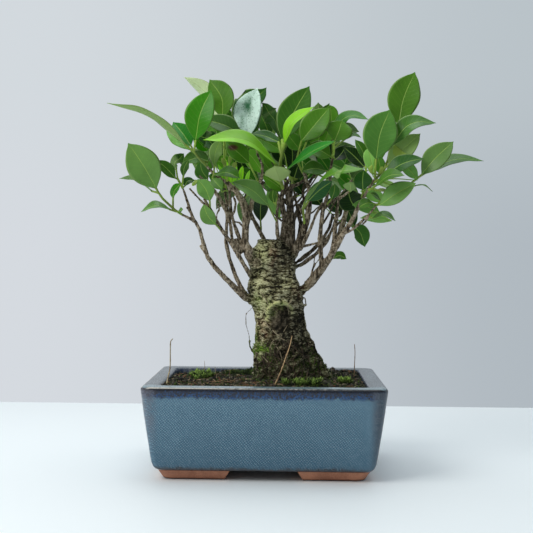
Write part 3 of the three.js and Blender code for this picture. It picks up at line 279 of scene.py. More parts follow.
# The blue breaks into fine dots in crossing diagonal rows, a little over 1.5 mm apart and slightly wavy.
DOT_ROWS, DOT_DRIFT = 2 * np.pi / 0.0024, 0.0034
along = x + y + spot.noise(0.009, 3) * DOT_DRIFT
height = z + spot.noise(0.008, 3, (1.3, 1, 1)) * DOT_DRIFT
rows = [spot.math("COSINE", (along + height * lean) * DOT_ROWS) for lean in (1, -1)]
dots = (rows[0] + rows[1]) * 0.25 + 0.5 + (speck - 0.5) * 0.8
# The blue is painted lighter towards the top: painted light falling from above.
blue = (z * 9 + mottle * 0.5).ramp(0.25, 0.95).mix(tone(60, 97, 120), tone(82, 119, 141))
blue = (dots.ramp(0.44, 0.08) * 0.62).mix(blue, tone(26, 60, 86))
blue = (dots.ramp(0.6, 0.98) * 0.6).mix(blue, tone(144, 184, 200))
# Under the rim lies a navy band with a ragged edge, which lets fine blue specks through lower down.
ragged = z + (run - 0.5) * 0.006
specked = fleck * 0.45 + spot.noise(0.0011, 2, rough=0.7) * 0.55
navy = (specked.ramp(0.44, 0.58) * ragged.ramp(0.0748, 0.0675)).mix(tone(2, 10, 30), tone(30, 78, 130))
navy_edge = ragged + (spot.noise(0.02, 2) - 0.5) * 0.003 + (fleck - 0.5) * 0.003
wall = navy_edge.ramp(0.0648, 0.0680).mix(blue, navy)
# Over the upright corners the coat is thinner and greyer, and along the foot line it is dark and brownish.
corner = abs(x).ramp(0.086, 0.0935) * abs(y).ramp(0.058, 0.066)
worn = (mottle * 0.5 + fleck * 0.5).ramp(0.3, 0.6) * (z * 7).ramp(0.0, 0.5)
wall = (corner * worn * 0.75).mix(wall, tone(98, 98, 108))
# The right end of the pot is painted darker: painted shade on the side turned away from the light.
wall = (x.ramp(0.086, 0.096) * 0.75).mix(wall, tone(50, 66, 80))
foot_line = (ragged + (mottle - 0.5) * 0.008).ramp(0.0088, 0.0058)
wall = (foot_line * 0.85).mix(wall, tone(58, 58, 62))
# The flange's flat top is greyer, with brown specks. Along its outer edge runs a painted highlight, a pale line
# brighter at the left, over a dark line.
half_x, half_y = (POT_HALF * MM).tolist()
edge_inset = half_y - spot.math("MAXIMUM", abs(y), abs(x) - (half_x - half_y))
top = (fleck * 0.5 + mottle * 0.5).ramp(0.42, 0.62).mix(tone(74, 83, 92), tone(98, 108, 116))
# The front part of the flange top is painted lighter and bluer than its sides: a painted reflection.
top = (y.ramp(-0.056, -0.062) * 0.75).mix(top, tone(126, 152, 162))
top = spot.noise(0.0042, 3, rough=0.6).ramp(0.6, 0.66).mix(top, tone(50, 44, 42))
top = (edge_inset.ramp(0.0095, 0.0135) * 0.5).mix(top, tone(44, 54, 60))
wall = (z.ramp(0.0743, 0.0747) * edge_inset.ramp(0.0, 0.0006)).mix(wall, top)
wall = (z.ramp(0.0728, 0.0735) * edge_inset.ramp(0.0026, 0.0014)).mix(wall, tone(34, 38, 46))
# A painted highlight: a pale line along the lip's outer edge, brighter towards the left.
lip_highlight = z.ramp(0.0741, 0.0745) * edge_inset.ramp(0.0022, 0.0014)
lip_highlight = lip_highlight * (run * 0.7 + x * -3.0 + 0.12).ramp(0.25, 0.7)
wall = lip_highlight.mix(wall, tone(196, 192, 184))
within = edge_inset.ramp(0.0130, 0.0142) * z.ramp(0.0755, 0.0744)
wall = within.mix(wall, run.ramp(0.4, 0.6).mix(tone(36, 52, 78), tone(84, 92, 102)))
bare = z.ramp(0.0046, 0.0041)
wall = bare.mix(wall, tone(84, 62, 52))
peel = speck * 0.4 + spot.noise(0.006, 2) * 0.8
spot.finish(wall, bare * 0.6 + speck * 0.14 + 0.2, peel, 0.0001, Coat_Weight=0.15, Coat_Roughness=0.1)



def placed(points):
    """Points given in millimetres from the pot's middle, as they stand in the scene."""
    return points * MM + POT_MIDDLE


pot_body = add_piece("pot_body", placed(pot_points), grid_faces(*pot_rows.shape[:2]), glaze, "glazed_pot", "pot")
# The two drain holes are drilled through the floor.
HOLE_RADIUS, HOLE_OFFSET, DRILL_HEIGHT, DRILL_LONG = 8, 42, 9, 30
drills = bmesh.new()
for side in (-HOLE_OFFSET, HOLE_OFFSET):
    place = Matrix.Translation(POT_MIDDLE + np.array([side, 0, DRILL_HEIGHT]) * MM)
    bmesh.ops.create_cone(drills, cap_ends=True, segments=40, radius1=HOLE_RADIUS * MM, radius2=HOLE_RADIUS * MM,
                          depth=DRILL_LONG * MM, matrix=place)
cutter = add_object("drills", bpy.data.meshes.new("drills"))
drills.to_mesh(cutter.data)
drills.free()
cut = pot_body.modifiers.new("drain_holes", "BOOLEAN")
cut.operation, cut.solver, cut.object = "DIFFERENCE", "MANIFOLD", cutter
bpy.context.view_layer.update()
drilled = bpy.data.meshes.new_from_object(pot_body.evaluated_get(bpy.context.evaluated_depsgraph_get()))
pot_body.modifiers.clear()
pot_body.data = drilled
bpy.data.objects.remove(cutter)
pot_body.data.set_sharp_from_angle(angle=np.radians(50))

# ---- feet: four L-shaped corner feet of bare red clay, thrown in one with the pot's floor, their ends cut to a slope.
# The glaze stops short of them.
FOOT_INNER, FOOT_ARM, FOOT_INSET, FOOT_ROUND = np.array([33.0, 24.0]), 15.0, 17.5, 8.0
FOOT_LEAN, FOOT_END_SLOPE = 4.6, 4.9


def foot_outline(spread, height):
    """An L round one corner: a quarter circle joins its outer sides, and its ends move out with the spread."""
    outer = POT_HALF - FOOT_INSET + spread
    end = FOOT_INNER - FOOT_END_SLOPE / FOOT_LEAN * spread
    turn = np.radians(np.linspace(-90, 0, 9))
    arc = (outer - FOOT_ROUND) * [1, -1] + FOOT_ROUND * np.stack([np.cos(turn), np.sin(turn)], axis=1)
    inner = outer - FOOT_ARM
    outline = np.vstack([[end[0], -outer[1]], arc, [outer[0], -end[1]], [inner[0], -end[1]], inner * [1, -1],
                         [end[0], -inner[1]]])
    return np.column_stack([outline, np.full(len(outline), height)])


clay, spot = new_finish("bare_red_clay")
grain = spot.noise(0.0009, 3, rough=0.7)
cloud = spot.noise(0.02, 3)
clay_tone = (cloud * 0.6 + grain * 0.4).ramp(0.35, 0.65).mix(tone(146, 96, 74), tone(190, 132, 104))
clay_tone = spot.parts()[2].ramp(0.0018, 0.0002).mix(clay_tone, tone(64, 42, 36))
spot.finish(clay_tone, 0.78, grain, 0.00015)
FOOT_LEVELS = ((0, -FEET_DEPTH), (0.06, -3.1), (0.5, 0.5), (1, 4.6))  # share of the lean, and height
foot_points, foot_faces = [], []
for mirror in ((1, 1), (-1, 1), (-1, -1), (1, -1)):
    rows = np.array([foot_outline(FOOT_LEAN * share, height) for share, height in FOOT_LEVELS])
    rows[0] *= [0.996, 0.994, 1]  # the underside is rubbed down a little
    foot_faces += grid_faces(len(rows), rows.shape[1], sum(map(len, foot_points)))
    foot_points.append((rows * [*mirror, 1]).reshape(-1, 3))
feet = add_piece("pot_feet", placed(np.vstack(foot_points)), foot_faces, clay, "glazed_pot", "pot")
feet.data.set_sharp_from_angle(angle=np.radians(35))
soften = feet.modifiers.new("worn_edges", "BEVEL")
soften.width, soften.segments, soften.limit_method, soften.angle_limit = 0.0006, 3, "ANGLE", np.radians(35)

# ---- drainage: a black plastic mesh square over each hole, held down by a bent copper wire through the hole.
# The CAD meshes are fine enough for these, so they only get their finishes.
plastic, spot = new_finish("black_plastic_mesh")
dust = spot.noise(0.003, 3)
spot.finish(dust.ramp(0.5, 0.75).mix(tone(28, 28, 29), tone(72, 64, 54)), dust * 0.4 + 0.4, spot.noise(0.0006, 2),
            0.00006)
copper, spot = new_finish("weathered_copper")
patina = spot.noise(0.0035, 4, rough=0.65)
spot.finish(patina.ramp(0.5, 0.68).mix(tone(172, 106, 72), tone(78, 70, 58)), patina * 0.5 + 0.2, patina, 0.00008,
            Metallic=1.0)
for side in ("left", "right"):
    for node, metal_or_plastic in ((f"drain_mesh_{side}", plastic), (f"mesh_wire_{side}", copper)):
        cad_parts[node].data.materials.clear()
        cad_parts[node].data.materials.append(metal_or_plastic)

# ---- soil: dark potting mix, mounded round the trunk and sunk a little along the walls. Loose grains, bits of bark
# and dry rootlets lie on it.
SOIL_LEVEL, SOIL_BOTTOM, MOUND, MOUND_RADIUS = 71.5, 13.1, 4.5, 62.0
TRUNK_FOOT = np.array([21.0, 0.0])


def unit(values):
    """The values, with those under 0 made 0 and those over 1 made 1."""
    return np.clip(values, 0, 1)


def hump(values, middle, width):
    """A bell: 1 at the middle, and e to the power of minus the squared distance from it over the width elsewhere."""
    return np.exp(-(((values - middle) / width) ** 2))


def soil_height(x, y):
    """The soil's level in millimetres: a bell round the trunk, two slow waves, and lumps of three sizes. A bell
    along the back wall is raised, and one in the back left corner is sunk."""
    reach = np.hypot(x - TRUNK_FOOT[0], y - TRUNK_FOOT[1]) / MOUND_RADIUS
    flat = np.column_stack([np.ravel(x), np.ravel(y), np.zeros(np.size(x))])
    lumps = (0.9 * clumps(flat, 9, 11) + 0.6 * clumps(flat, 4, 12) + 0.35 * clumps(flat, 1.8, 13)).reshape(np.shape(x))
    raised = 2.0 * hump(y, 58, 13) * unit((x + 44) / 16)
    sunk = 2.6 * hump(x, -70, 34) * hump(y, 56, 16)
    waves = 0.45 * np.sin(x * 0.13 + 1) + 0.4 * np.sin(y * 0.17 + x * 0.05)
    return SOIL_LEVEL + MOUND * np.exp(-1.6 * reach**2) + waves + lumps + raised - sunk


# The soil's edge follows the pot's inner wall, which leans in from its lip, at a small gap. Loops run from the trunk
# out to that edge, and two more close the block narrower at the bottom, as the wall leans.
POT_TOP, WALL_INSET, WALL_LEAN, EDGE_HEIGHT, WALL_GAP, EDGE_ROUND = 75.3, 15, 7, 70, 0.5, 7
soil_inset = WALL_INSET + WALL_LEAN * (1 - EDGE_HEIGHT / POT_TOP) + WALL_GAP
brim = rounded_rows(*([half - soil_inset] for half in POT_HALF), [EDGE_ROUND], [0], 9, 34)[0, :, :2]
share = np.concatenate([[0.004], np.linspace(0.02, 1, 84)])[:, None, None]
ground = TRUNK_FOOT * (1 - share) + brim * share
surface = np.concatenate([ground, soil_height(ground[..., 0], ground[..., 1])[..., None]], axis=2)
bottom = [np.column_stack([brim * narrow, np.full(len(brim), SOIL_BOTTOM)]) for narrow in (0.985 * 0.955, 0.93)]
soil_rows = np.concatenate([surface, bottom])

earth, spot = new_finish("potting_mix")
coarse = spot.noise(0.006, 4, rough=0.6)
crumb = spot.noise(0.0014, 3, rough=0.7)
rusty = spot.noise(0.02, 3)
EARTH_STOPS = [(0.34, tone(28, 29, 28)), (0.46, tone(54, 53, 47)), (0.57, tone(86, 83, 70)), (0.7, tone(128, 114, 92))]
earth_tone = crumb.node("ValToRGB", {"stops": EARTH_STOPS}, {0: crumb * 0.7 + coarse * 0.3})
earth_tone = (rusty.ramp(0.56, 0.66) * 0.3).mix(earth_tone, tone(84, 54, 34))
earth_tone = (spot.noise(0.013, 3).ramp(0.44, 0.6) * 0.55).mix(earth_tone, tone(48, 56, 36))
spot.finish(earth_tone, 0.95, crumb * 0.6 + coarse, 0.0009, Specular_IOR_Level=0.15)
add_piece("soil_body", placed(soil_rows.reshape(-1, 3)), grid_faces(*soil_rows.shape[:2]), earth, "soil", "soil")

chance = np.random.default_rng(20)
OPEN_SOIL = np.array([85.5, 58.8])


def off_trunk(x, y, wide=34, deep=27):
    """The distance from the middle of the trunk's foot, which is 1 on an oval with the given half-widths."""
    return np.hypot((x - TRUNK_FOOT[0]) / wide, y / deep)


def on_soil(count, keep_off=1.0):
    """Random places on the open soil as x, y and height, outside the oval where the trunk stands."""
    x, y = (chance.uniform(-half, half, count * 2) for half in OPEN_SOIL)
    free = off_trunk(x, y) > keep_off
    x, y = x[free][:count], y[free][:count]
    return np.column_stack([x, y, soil_height(x, y)])


def scattered(places, sizes, template, faces, colours, spin=None):
    """Copies of a small template, each turned by a random rotation, stretched by its sizes and moved to its place."""
    count = len(places)
    if spin is None:
        q = chance.normal(size=(count, 4))
        q /= np.linalg.norm(q, axis=1, keepdims=True)
        w, a, b, c = q.T
        spin = np.array([[1 - 2 * (b * b + c * c), 2 * (a * b - c * w), 2 * (a * c + b * w)],
                         [2 * (a * b + c * w), 1 - 2 * (a * a + c * c), 2 * (b * c - a * w)],
                         [2 * (a * c - b * w), 2 * (b * c + a * w), 1 - 2 * (a * a + b * b)]]).transpose(2, 0, 1)
    points = np.einsum("nij,nkj->nki", spin, template[None] * sizes[:, None]) + places[:, None]
    index = (np.asarray(faces)[None] + np.arange(count)[:, None, None] * len(template)).reshape(-1, len(faces[0]))
    return points.reshape(-1, 3), index.tolist(), np.repeat(colours, len(template), axis=0)


def paint(piece, colours):
    """Stores a colour at each point of a piece."""
    colours = np.column_stack([colours, np.ones(len(colours))])
    piece.data.attributes.new("tint", "FLOAT_COLOR", "POINT").data.foreach_set("color", colours.ravel())


# A grain is the hull of the twelve corners of three crossing golden rectangles.
golden = (1 + 5**0.5) / 2
signs = [(s, t) for s in (-1, 1) for t in (-1, 1)]
CRUMB = np.array([[0, s, t * golden] for s, t in signs] + [[s, t * golden, 0] for s, t in signs]
                 + [[s * golden, 0, t] for s, t in signs]) / np.hypot(1, golden)
hull = bmesh.new()
for corner in CRUMB:
    hull.verts.new(corner)
hull.verts.index_update()
bmesh.ops.convex_hull(hull, input=hull.verts)
CRUMB_FACES = [[v.index for v in f.verts] for f in hull.faces]
hull.free()

loose, spot = new_finish("loose_grains")
spot.finish((spot.noise(0.0007, 2).ramp(0.35, 0.65) * 0.35).mix(spot.stored("tint", 0), tone(24, 20, 15)), 0.92,
            spot.noise(0.0005, 2), 0.0002, Specular_IOR_Level=0.2)
GRAIN_COUNT, LARGE_SHARE, LARGE = 5200, 0.05, 1.8
places = on_soil(GRAIN_COUNT)
size = chance.gamma(5, 0.115, len(places)) + 0.22
size[chance.random(len(places)) < LARGE_SHARE] *= LARGE
places[:, 2] += 0.25 * size
GRAIN_TONES = {  # and the share of the grains that have each
    (40, 40, 38): 0.31, (64, 62, 57): 0.25, (92, 88, 80): 0.16, (124, 115, 98): 0.07, (124, 90, 66): 0.03,
    (66, 78, 50): 0.16, (172, 162, 140): 0.02,
}
picked = chance.choice(len(GRAIN_TONES), len(places), p=list(GRAIN_TONES.values()))
size = size[:, None] * chance.uniform(0.6, 1.35, (len(places), 3))
colours = np.array([light(*key) for key in GRAIN_TONES])[picked] * chance.uniform(0.7, 1.2, (len(places), 1))
points, faces, colours = scattered(places, size, CRUMB, CRUMB_FACES, colours)
paint(add_piece("soil_grains", placed(points), faces, loose, "soil", turned=False), colours)


def tube_rows(path, radii, sides):
    """Circles square to a path, one at each of its points, all measured from one side direction."""
    along = np.gradient(path, axis=0)
    along /= np.linalg.norm(along, axis=1, keepdims=True)
    across = np.cross(along, np.eye(3)[np.argmin(np.abs(path[-1] - path[0]))])
    across /= np.linalg.norm(across, axis=1, keepdims=True)
    over = np.cross(along, across)
    angle = np.arange(sides) / sides * 2 * np.pi
    circle = across[:, None] * np.cos(angle)[:, None] + over[:, None] * np.sin(angle)[:, None]
    return path[:, None] + np.asarray(radii)[:, None, None] * circle


def join_tubes(tubes, sides, start=0):
    """The points and faces of several tubes, each given as its path in metres and its radii in millimetres."""
    points, faces = [], []
    for path, radii in tubes:
        faces += grid_faces(len(path), sides, start + sum(map(len, points)))
        points.append(tube_rows(path, radii * MM, sides).reshape(-1, 3))
    return np.vstack(points), faces


fibre, spot = new_finish("dry_rootlets")
spot.finish((spot.noise(0.0018, 2).ramp(0.4, 0.66) * 0.5).mix(spot.stored("tint", 0), tone(64, 46, 32)), 0.85,
            spot.noise(0.0006, 2), 0.0001)
ROOT_TONES = [light(166, 132, 98), light(134, 94, 66), light(190, 168, 132), light(104, 80, 60)]
ROOT_SIDES = 4
ROOTLETS, FRONT_LEFT_ONES, SOIL_EDGE = 230, 90, np.array([86, 59])
rootlets, root_tones = [], []
starts = on_soil(ROOTLETS, 1.02)
starts[:FRONT_LEFT_ONES, :2] = np.array([-30, -34]) + chance.normal(size=(FRONT_LEFT_ONES, 2)) * [24, 13]
starts[:FRONT_LEFT_ONES, 1] = np.clip(starts[:FRONT_LEFT_ONES, 1], -57, 40)
for start in starts:
    heading, bend, long = chance.uniform(0, 2 * np.pi), chance.normal(0, 0.9), chance.uniform(4, 15)
    turn = heading + bend * np.linspace(0, 1, 8)
    flat = start[:2] + np.cumsum(np.column_stack([np.cos(turn), np.sin(turn)]) * long / 8, axis=0)
    flat = np.clip(flat, -SOIL_EDGE, SOIL_EDGE)
    flat = flat[off_trunk(*flat.T, 33, 26) > 1]
    if len(flat) < 5:
        continue
    lift = 0.5 + chance.uniform(0, 1.6) * np.sin(np.linspace(0, np.pi, len(flat)))
    path = np.column_stack([flat, soil_height(*flat.T) + lift])
    rootlets.append((placed(path), np.linspace(1, 0.35, len(path)) * chance.uniform(0.2, 0.42)))
    colour = ROOT_TONES[chance.integers(4)] * chance.uniform(0.7, 1.15)
    root_tones.append(np.tile(colour, (len(path) * ROOT_SIDES, 1)))
rootlets = add_piece("soil_rootlets", *join_tubes(rootlets, ROOT_SIDES), fibre, "soil", turned=False)
paint(rootlets, np.vstack(root_tones))

# ---- moss: four low cushions of short leafy sprigs that grow on the soil, at the left, front, right and back.
# The sprigs of a cushion stand higher and closer together towards its middle.
MOSS = {  # middle x and y, half-widths, thickness, phase of the wavy outline, how closed it is, height, brightness
    "moss_left": (-58, 16, 12, 20, 4, 0.4, 0.3, 1.1, 0.1), "moss_front": (32, -43, 22, 8, 3.5, 1.7, 0.12, 1.75, 0.35),
    "moss_right": (69, -22, 9, 13, 3.5, 3.1, 0.12, 1.6, 0.45),
    "moss_back": (-20, 38, 26, 12, 3.5, 4.4, 0.45, 0.8, -0.6),
}
SPRIGS_PER_AREA, STRAY_SPRIGS = 3.6, 900
# A sprig has six leaflets in a spiral, each a thin double pyramid; the upper ones stand more upright.
SPRIG_LEAVES, SPIRAL_TURN = 6, np.radians(137.5)
turn = np.arange(SPRIG_LEAVES) * SPIRAL_TURN
lean = np.linspace(0.95, 0.25, SPRIG_LEAVES)
foot = np.linspace(0.0, 0.35, SPRIG_LEAVES)
out = np.stack([np.cos(turn) * lean, np.sin(turn) * lean, np.sqrt(1 - lean**2)], axis=1)
across = np.stack([-np.sin(turn), np.cos(turn), 0 * turn], axis=1)
above = np.cross(out, across)
base = np.stack([0 * turn, 0 * turn, foot], axis=1)
waist = base + out * 0.4
SPRIG = np.stack([base, waist + across * 0.13, waist - across * 0.13, waist + above * 0.045, waist - above * 0.045,
                  base + out * 0.8], axis=1).reshape(-1, 3)
LEAFLET = np.array([[0, 1, 3], [0, 3, 2], [0, 2, 4], [0, 4, 1], [5, 3, 1], [5, 2, 3], [5, 4, 2], [5, 1, 4]])
SPRIG_FACES = (LEAFLET[None] + 6 * np.arange(SPRIG_LEAVES)[:, None, None]).reshape(-1, 3)

moss_finish, spot = new_finish("living_moss")
spot.finish((spot.noise(0.0025, 2).ramp(0.4, 0.65) * 0.4).mix(spot.stored("tint", 0), tone(54, 76, 34)), 0.8,
            spot.noise(0.0008, 2), 0.0001, Specular_IOR_Level=0.2)


def blend(share, first, second):
    """The first colour where the share is 0, the second where it is 1."""
    return first * (1 - share) + second * share


def add_sprigs(name, places, tall, colours, *nodes):
    """Sprigs of moss at the given places, each turned round its own upright and leant a little."""
    count = len(places)
    spin = chance.uniform(0, 2 * np.pi, count)
    lean_x, lean_y = chance.normal(0, 0.28, (2, count))
    c, s, one, nil = np.cos(spin), np.sin(spin), np.ones(count), np.zeros(count)
    turned = np.array([[c, -s, lean_x], [s, c, lean_y], [nil, nil, one]]).transpose(2, 0, 1)
    points, faces, tints = scattered(places, np.repeat(tall[:, None], 3, axis=1), SPRIG, SPRIG_FACES, colours, turned)
    shaded = np.clip(0.25 + 0.95 * SPRIG[:, 2], 0.2, 1.1)  # the lower leaves are in shade
    cushion = add_piece(name, placed(points), faces, moss_finish, "moss", *nodes)
    paint(cushion, tints * np.tile(shaded, count)[:, None])


for name, (x0, y0, wide, deep, thick, phase, closed, height, bright) in MOSS.items():
    count = int(wide * deep * SPRIGS_PER_AREA)
    angle, radius = chance.uniform(0, 2 * np.pi, count), np.sqrt(chance.uniform(0, 1, count))
    wave = 1 + 0.13 * np.sin(3 * angle + phase) + 0.08 * np.sin(5 * angle + 2 * phase)
    x, y = x0 + wide * radius * wave * np.cos(angle), y0 + deep * radius * wave * np.sin(angle)
    free = (off_trunk(x, y, 35, 28) > 0.98) & (np.abs(x) < OPEN_SOIL[0]) & (np.abs(y) < 58)
    x, y, radius = x[free], y[free], radius[free]
    flat = np.column_stack([x, y, 0 * x])
    patchy = 0.8 * clumps(flat, 4.2, 21) + 0.7 * clumps(flat, 2.1, 22)
    keep = patchy > 0.55 * radius - closed
    x, y, radius, patchy = x[keep], y[keep], radius[keep], patchy[keep]
    dome = (1 - radius**2.5) * (thick - 2) * (0.5 + 0.5 * patchy)
    places = np.column_stack([x, y, soil_height(x, y) + dome])
    tall = np.clip(chance.gamma(4, 0.6, len(x)) * height, 1.2, 6.0)
    if name == "moss_left":  # its far half is in the light
        bright = bright + 1.1 * unit((y - 16) / 10)
    share = unit(bright * 0.6 + 0.5 * patchy + chance.normal(0, 0.34, len(x)))[:, None]
    add_sprigs(name + "_sprigs", places, tall, blend(share, light(46, 58, 34), light(164, 200, 96)), name)
# Single sprigs stand between the grains all over the soil.
places = on_soil(STRAY_SPRIGS, 0.99)
tall = chance.uniform(1.0, 2.6, len(places))
share = chance.random((len(places), 1)) ** 2
add_sprigs("stray_moss", places, tall, blend(share, light(44, 56, 32), light(118, 148, 70)))

# ---- dry stems: a thin straw stands at the pot's left end, one leans on the trunk, one stands at the right, and
# a few seedlings come up between the grains.
STRAWS = {  # size and stretch of the streaks along the stem, where they begin and end, and both colours
    "pale": (0.004, (0.25, 0.25, 1.6), (0.4, 0.64), (196, 184, 150), (122, 98, 70)),
    "red": (0.003, (0.3, 0.3, 1.5), (0.42, 0.62), (164, 132, 104), (112, 84, 66)),
    "golden": (0.003, (0.3, 0.3, 1.5), (0.42, 0.62), (198, 166, 122), (122, 90, 62)),
}
straws = {}
for word, (size, stretch, span, bright, dark) in STRAWS.items():
    straws[word], spot = new_finish(word + "_straw")
    streak = spot.noise(size, 3, stretch)
    spot.finish(streak.ramp(*span).mix(tone(*bright), tone(*dark)), 0.7, streak, 0.0001)
STEMS = {  # colour, radius in millimetres, and pixels with their depths
    "dry_stem_left": ("pale", 0.62, [(166, 388, -40), (168, 377, -26), (170, 368, -20), (170.3, 352, -18),
                                     (170.6, 342, -18), (173, 338.5, -18)]),
    "dry_straw": ("golden", 0.6, [(274, 387, -44), (281, 371, -41), (286, 357, -36), (290, 345, -31),
                                  (292, 335.5, -28)]),
    "dry_stem_right": ("red", 0.42, [(354, 380, 28), (354.5, 366, 28), (355, 353, 28), (354.5, 344, 28)]),
}

MIDDLE_U = PICTURE / 2


def sight(u, v):
    """The direction of the ray through a pixel of the photograph, u to the right and v down: ahead, plus the pixel's
    offsets over the focal length."""
    return AHEAD + LENS_RIGHT * (u - MIDDLE_U) / FOCAL - LENS_UP * (v - HORIZON_V) / FOCAL


def seen(u, v, depth):
    """The point on a pixel's ray that lies the given millimetres behind the pot's middle."""
    ray = sight(u, v)
    return EYE + ray * (POT_MIDDLE[1] + depth * MM - EYE[1]) / ray[1]


def curve_through(points, count):
    """Evenly spaced points on a Catmull-Rom curve, which passes each given point parallel to the line between its
    neighbours."""
    points = np.asarray(points, float)
    ends = np.vstack([2 * points[0] - points[1], points, 2 * points[-1] - points[-2]])
    t = np.linspace(0, len(points) - 1, 24 * len(points))
    k = np.minimum(t.astype(int), len(points) - 2)
    f = (t - k)[:, None]
    a, b, c, d = (ends[k + i] for i in range(4))
    dense = 0.5 * (2 * b + (c - a) * f + (2 * a - 5 * b + 4 * c - d) * f**2 + (3 * b - 3 * c + d - a) * f**3)
    run = np.concatenate([[0], np.cumsum(np.linalg.norm(np.diff(dense, axis=0), axis=1))])
    return np.stack([np.interp(np.linspace(0, run[-1], count), run, dense[:, i]) for i in range(3)], axis=1)


STEM_ROWS, BETWEEN_JOINTS = 60, 15
for name, (word, radius, pixels) in STEMS.items():
    # A straw is thicker at its joints and blunt at its tip.
    joint = 1 + 0.28 * hump(np.arange(STEM_ROWS) % BETWEEN_JOINTS, 7, 1.1)
    radii = radius * np.linspace(1, 0.72, STEM_ROWS) * joint
    radii[-1] *= 0.4
    path = curve_through([seen(*p) for p in pixels], STEM_ROWS)
    add_piece(name + "_fine", *join_tubes([(path, radii)], 9), straws[word], "dry_stem", name)
SEEDLINGS = [
    [(204.2, 371.5, 34), (204.8, 366, 34), (204.4, 360.8, 34)],
    [(217.2, 379, -8), (215.8, 372, -8), (214.6, 366.6, -8)],
    [(229.8, 377, 2), (229.7, 373, 2), (230, 369.5, 2)],
    [(331.6, 381, 12), (331.9, 374, 12), (331.2, 367.4, 12)],
]
seedlings = [(curve_through([seen(*p) for p in pixels], 14), np.linspace(0.34, 0.16, 14)) for pixels in SEEDLINGS]
add_piece("seedlings", *join_tubes(seedlings, 5), straws["pale"], "dry_stem")

# ---- wood: the trunk, its branches, twigs and aerial roots are one grown piece with wrinkled grey-brown bark.
# The CAD solid is rounded by a fine remesh, then its bark is raised in ridges, lumps and scars.
TRUNK = np.array([  # height, middle x, half-width across, half-width deep
    [50, 22, 24, 19], [66, 22, 33, 26], [74, 21.6, 36, 28], [84, 21, 34.5, 26], [96, 19.5, 31.5, 23],
    [108, 17.5, 28.5, 21.5], [120, 14.5, 25, 20], [133, 12, 23, 19], [145, 10.5, 24, 19.5], [154, 9, 24.5, 19.5],
    [165, 7.5, 21, 18], [178, 6, 20, 16], [188, 3.5, 16, 13], [198.5, 1.5, 9.5, 9], [205, 1.5, 8, 8],
])


def merged_copy(node):
    """A bmesh copy of a CAD node with its loose corners joined."""
    shell = bmesh.new()
    shell.from_mesh(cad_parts[node].data)
    bmesh.ops.remove_doubles(shell, verts=shell.verts, dist=1e-6)
    shell.verts.index_update()
    return shell


def remeshed(shell, voxel, rounds=4):
    """The points, faces and normals of a shell after a voxel remesh and some rounds of smoothing."""
    rough = add_object("rough", bpy.data.meshes.new("rough"))
    shell.to_mesh(rough.data)
    fine = rough.modifiers.new("remesh", "REMESH")
    fine.mode, fine.voxel_size, fine.adaptivity = "VOXEL", voxel, 0.0
    even = rough.modifiers.new("smooth", "SMOOTH")
    even.factor, even.iterations = 0.5, rounds
    bpy.context.view_layer.update()
    made = bpy.data.meshes.new_from_object(rough.evaluated_get(bpy.context.evaluated_depsgraph_get()))
    points, normals, corners = *np.empty((2, len(made.vertices) * 3)), np.empty(len(made.loops), int)
    made.vertices.foreach_get("co", points)
    made.vertices.foreach_get("normal", normals)
    made.loops.foreach_get("vertex_index", corners)
    bpy.data.objects.remove(rough)
    return points.reshape(-1, 3), corners.reshape(-1, 4), normals.reshape(-1, 3)


BARK_VOXEL = 0.0006
shell = merged_copy("trunk_and_branches")
bark_tree = BVHTree.FromBMesh(shell)
points, faces, normals = remeshed(shell, BARK_VOXEL)
shell.free()


def from_pot(points):
    """Places in the scene, in millimetres from the pot's middle."""
    return (np.array(points) - POT_MIDDLE) / MM


def on_bark(u, v):
    """The point of the wood that shows at a pixel of the photograph, in millimetres from the pot's middle."""
    return from_pot(bark_tree.ray_cast(Vector(EYE), Vector(sight(u, v)).normalized())[0])


P = from_pot(points)
x, y, z = P.T
trunk_x, trunk_wide, trunk_deep = (np.interp(z, TRUNK[:, 0], TRUNK[:, i]) for i in (1, 2, 3))
from_axis = np.hypot((x - trunk_x) / trunk_wide, y / trunk_deep)
# The trunk's bark ends a little outside the trunk's oval and over its cut top, and its foot has ridges of roots.
TRUNK_EDGE, TRUNK_END, FOOT_END = 1.42, 203, 112
on_trunk = unit((TRUNK_EDGE - from_axis) / 0.28) * unit((TRUNK_END - z) / 4)
low = unit((FOOT_END - z) / 36)


def bell(pixel, reach, squash=1.0):
    """1 at the bark's point behind a pixel, falling like a bell over the given millimetres, seen from the front."""
    middle = on_bark(*pixel)
    return hump(x, middle[0], reach) * hump(z, middle[2], reach * squash) * (y < middle[1] + 12)


def spread_evenly(values):
    """The same values bent to fill the range from 0 to 1, with a quarter of them under 0.2 and half under 0.45."""
    return np.interp(values, np.quantile(values[::7], [0, 0.25, 0.5, 0.75, 1]), [0, 0.2, 0.45, 0.75, 1])


# Wrinkles lie across the trunk; they fade on the branches, where the bark is finely cracked instead.
warp = np.column_stack([clumps(P, 9, 30 + i) for i in range(3)])
flatwise = (P + warp * [2.0, 2.0, 1.5]) * [0.36, 0.36, 1.0]
wrinkle = spread_evenly(np.abs(clumps(flatwise, 2.5, 32)) + 0.5 * np.abs(clumps(flatwise, 1.4, 33)))
pit = spread_evenly(clumps((P + warp) * [0.6, 0.6, 1.0], 2.0, 41))
lump = clumps(P, 15, 34)
knob = clumps(P, 6.5, 35)
crack = spread_evenly(1 - np.abs(clumps(P * [1, 1, 0.32], 1.5, 36)) + 0.4 * clumps(P * [1, 1, 0.5], 0.8, 42))
angle = np.arctan2(y / trunk_deep, (x - trunk_x) / trunk_wide)
root_fold = np.cos(6 * angle + 0.9 * np.sin(2 * angle) + z * 0.02) * 0.5 + np.cos(11 * angle + 1.3) * 0.3
rough_foot = spread_evenly(clumps(P, 3.1, 43) + 0.6 * clumps(P, 1.6, 44))


def marked(*spots):
    """The sum of the bells behind some pixels, each given as u, v, reach, height to width, and strength."""
    return sum(strength * bell((u, v), reach, squash) for u, v, reach, squash, strength in spots)


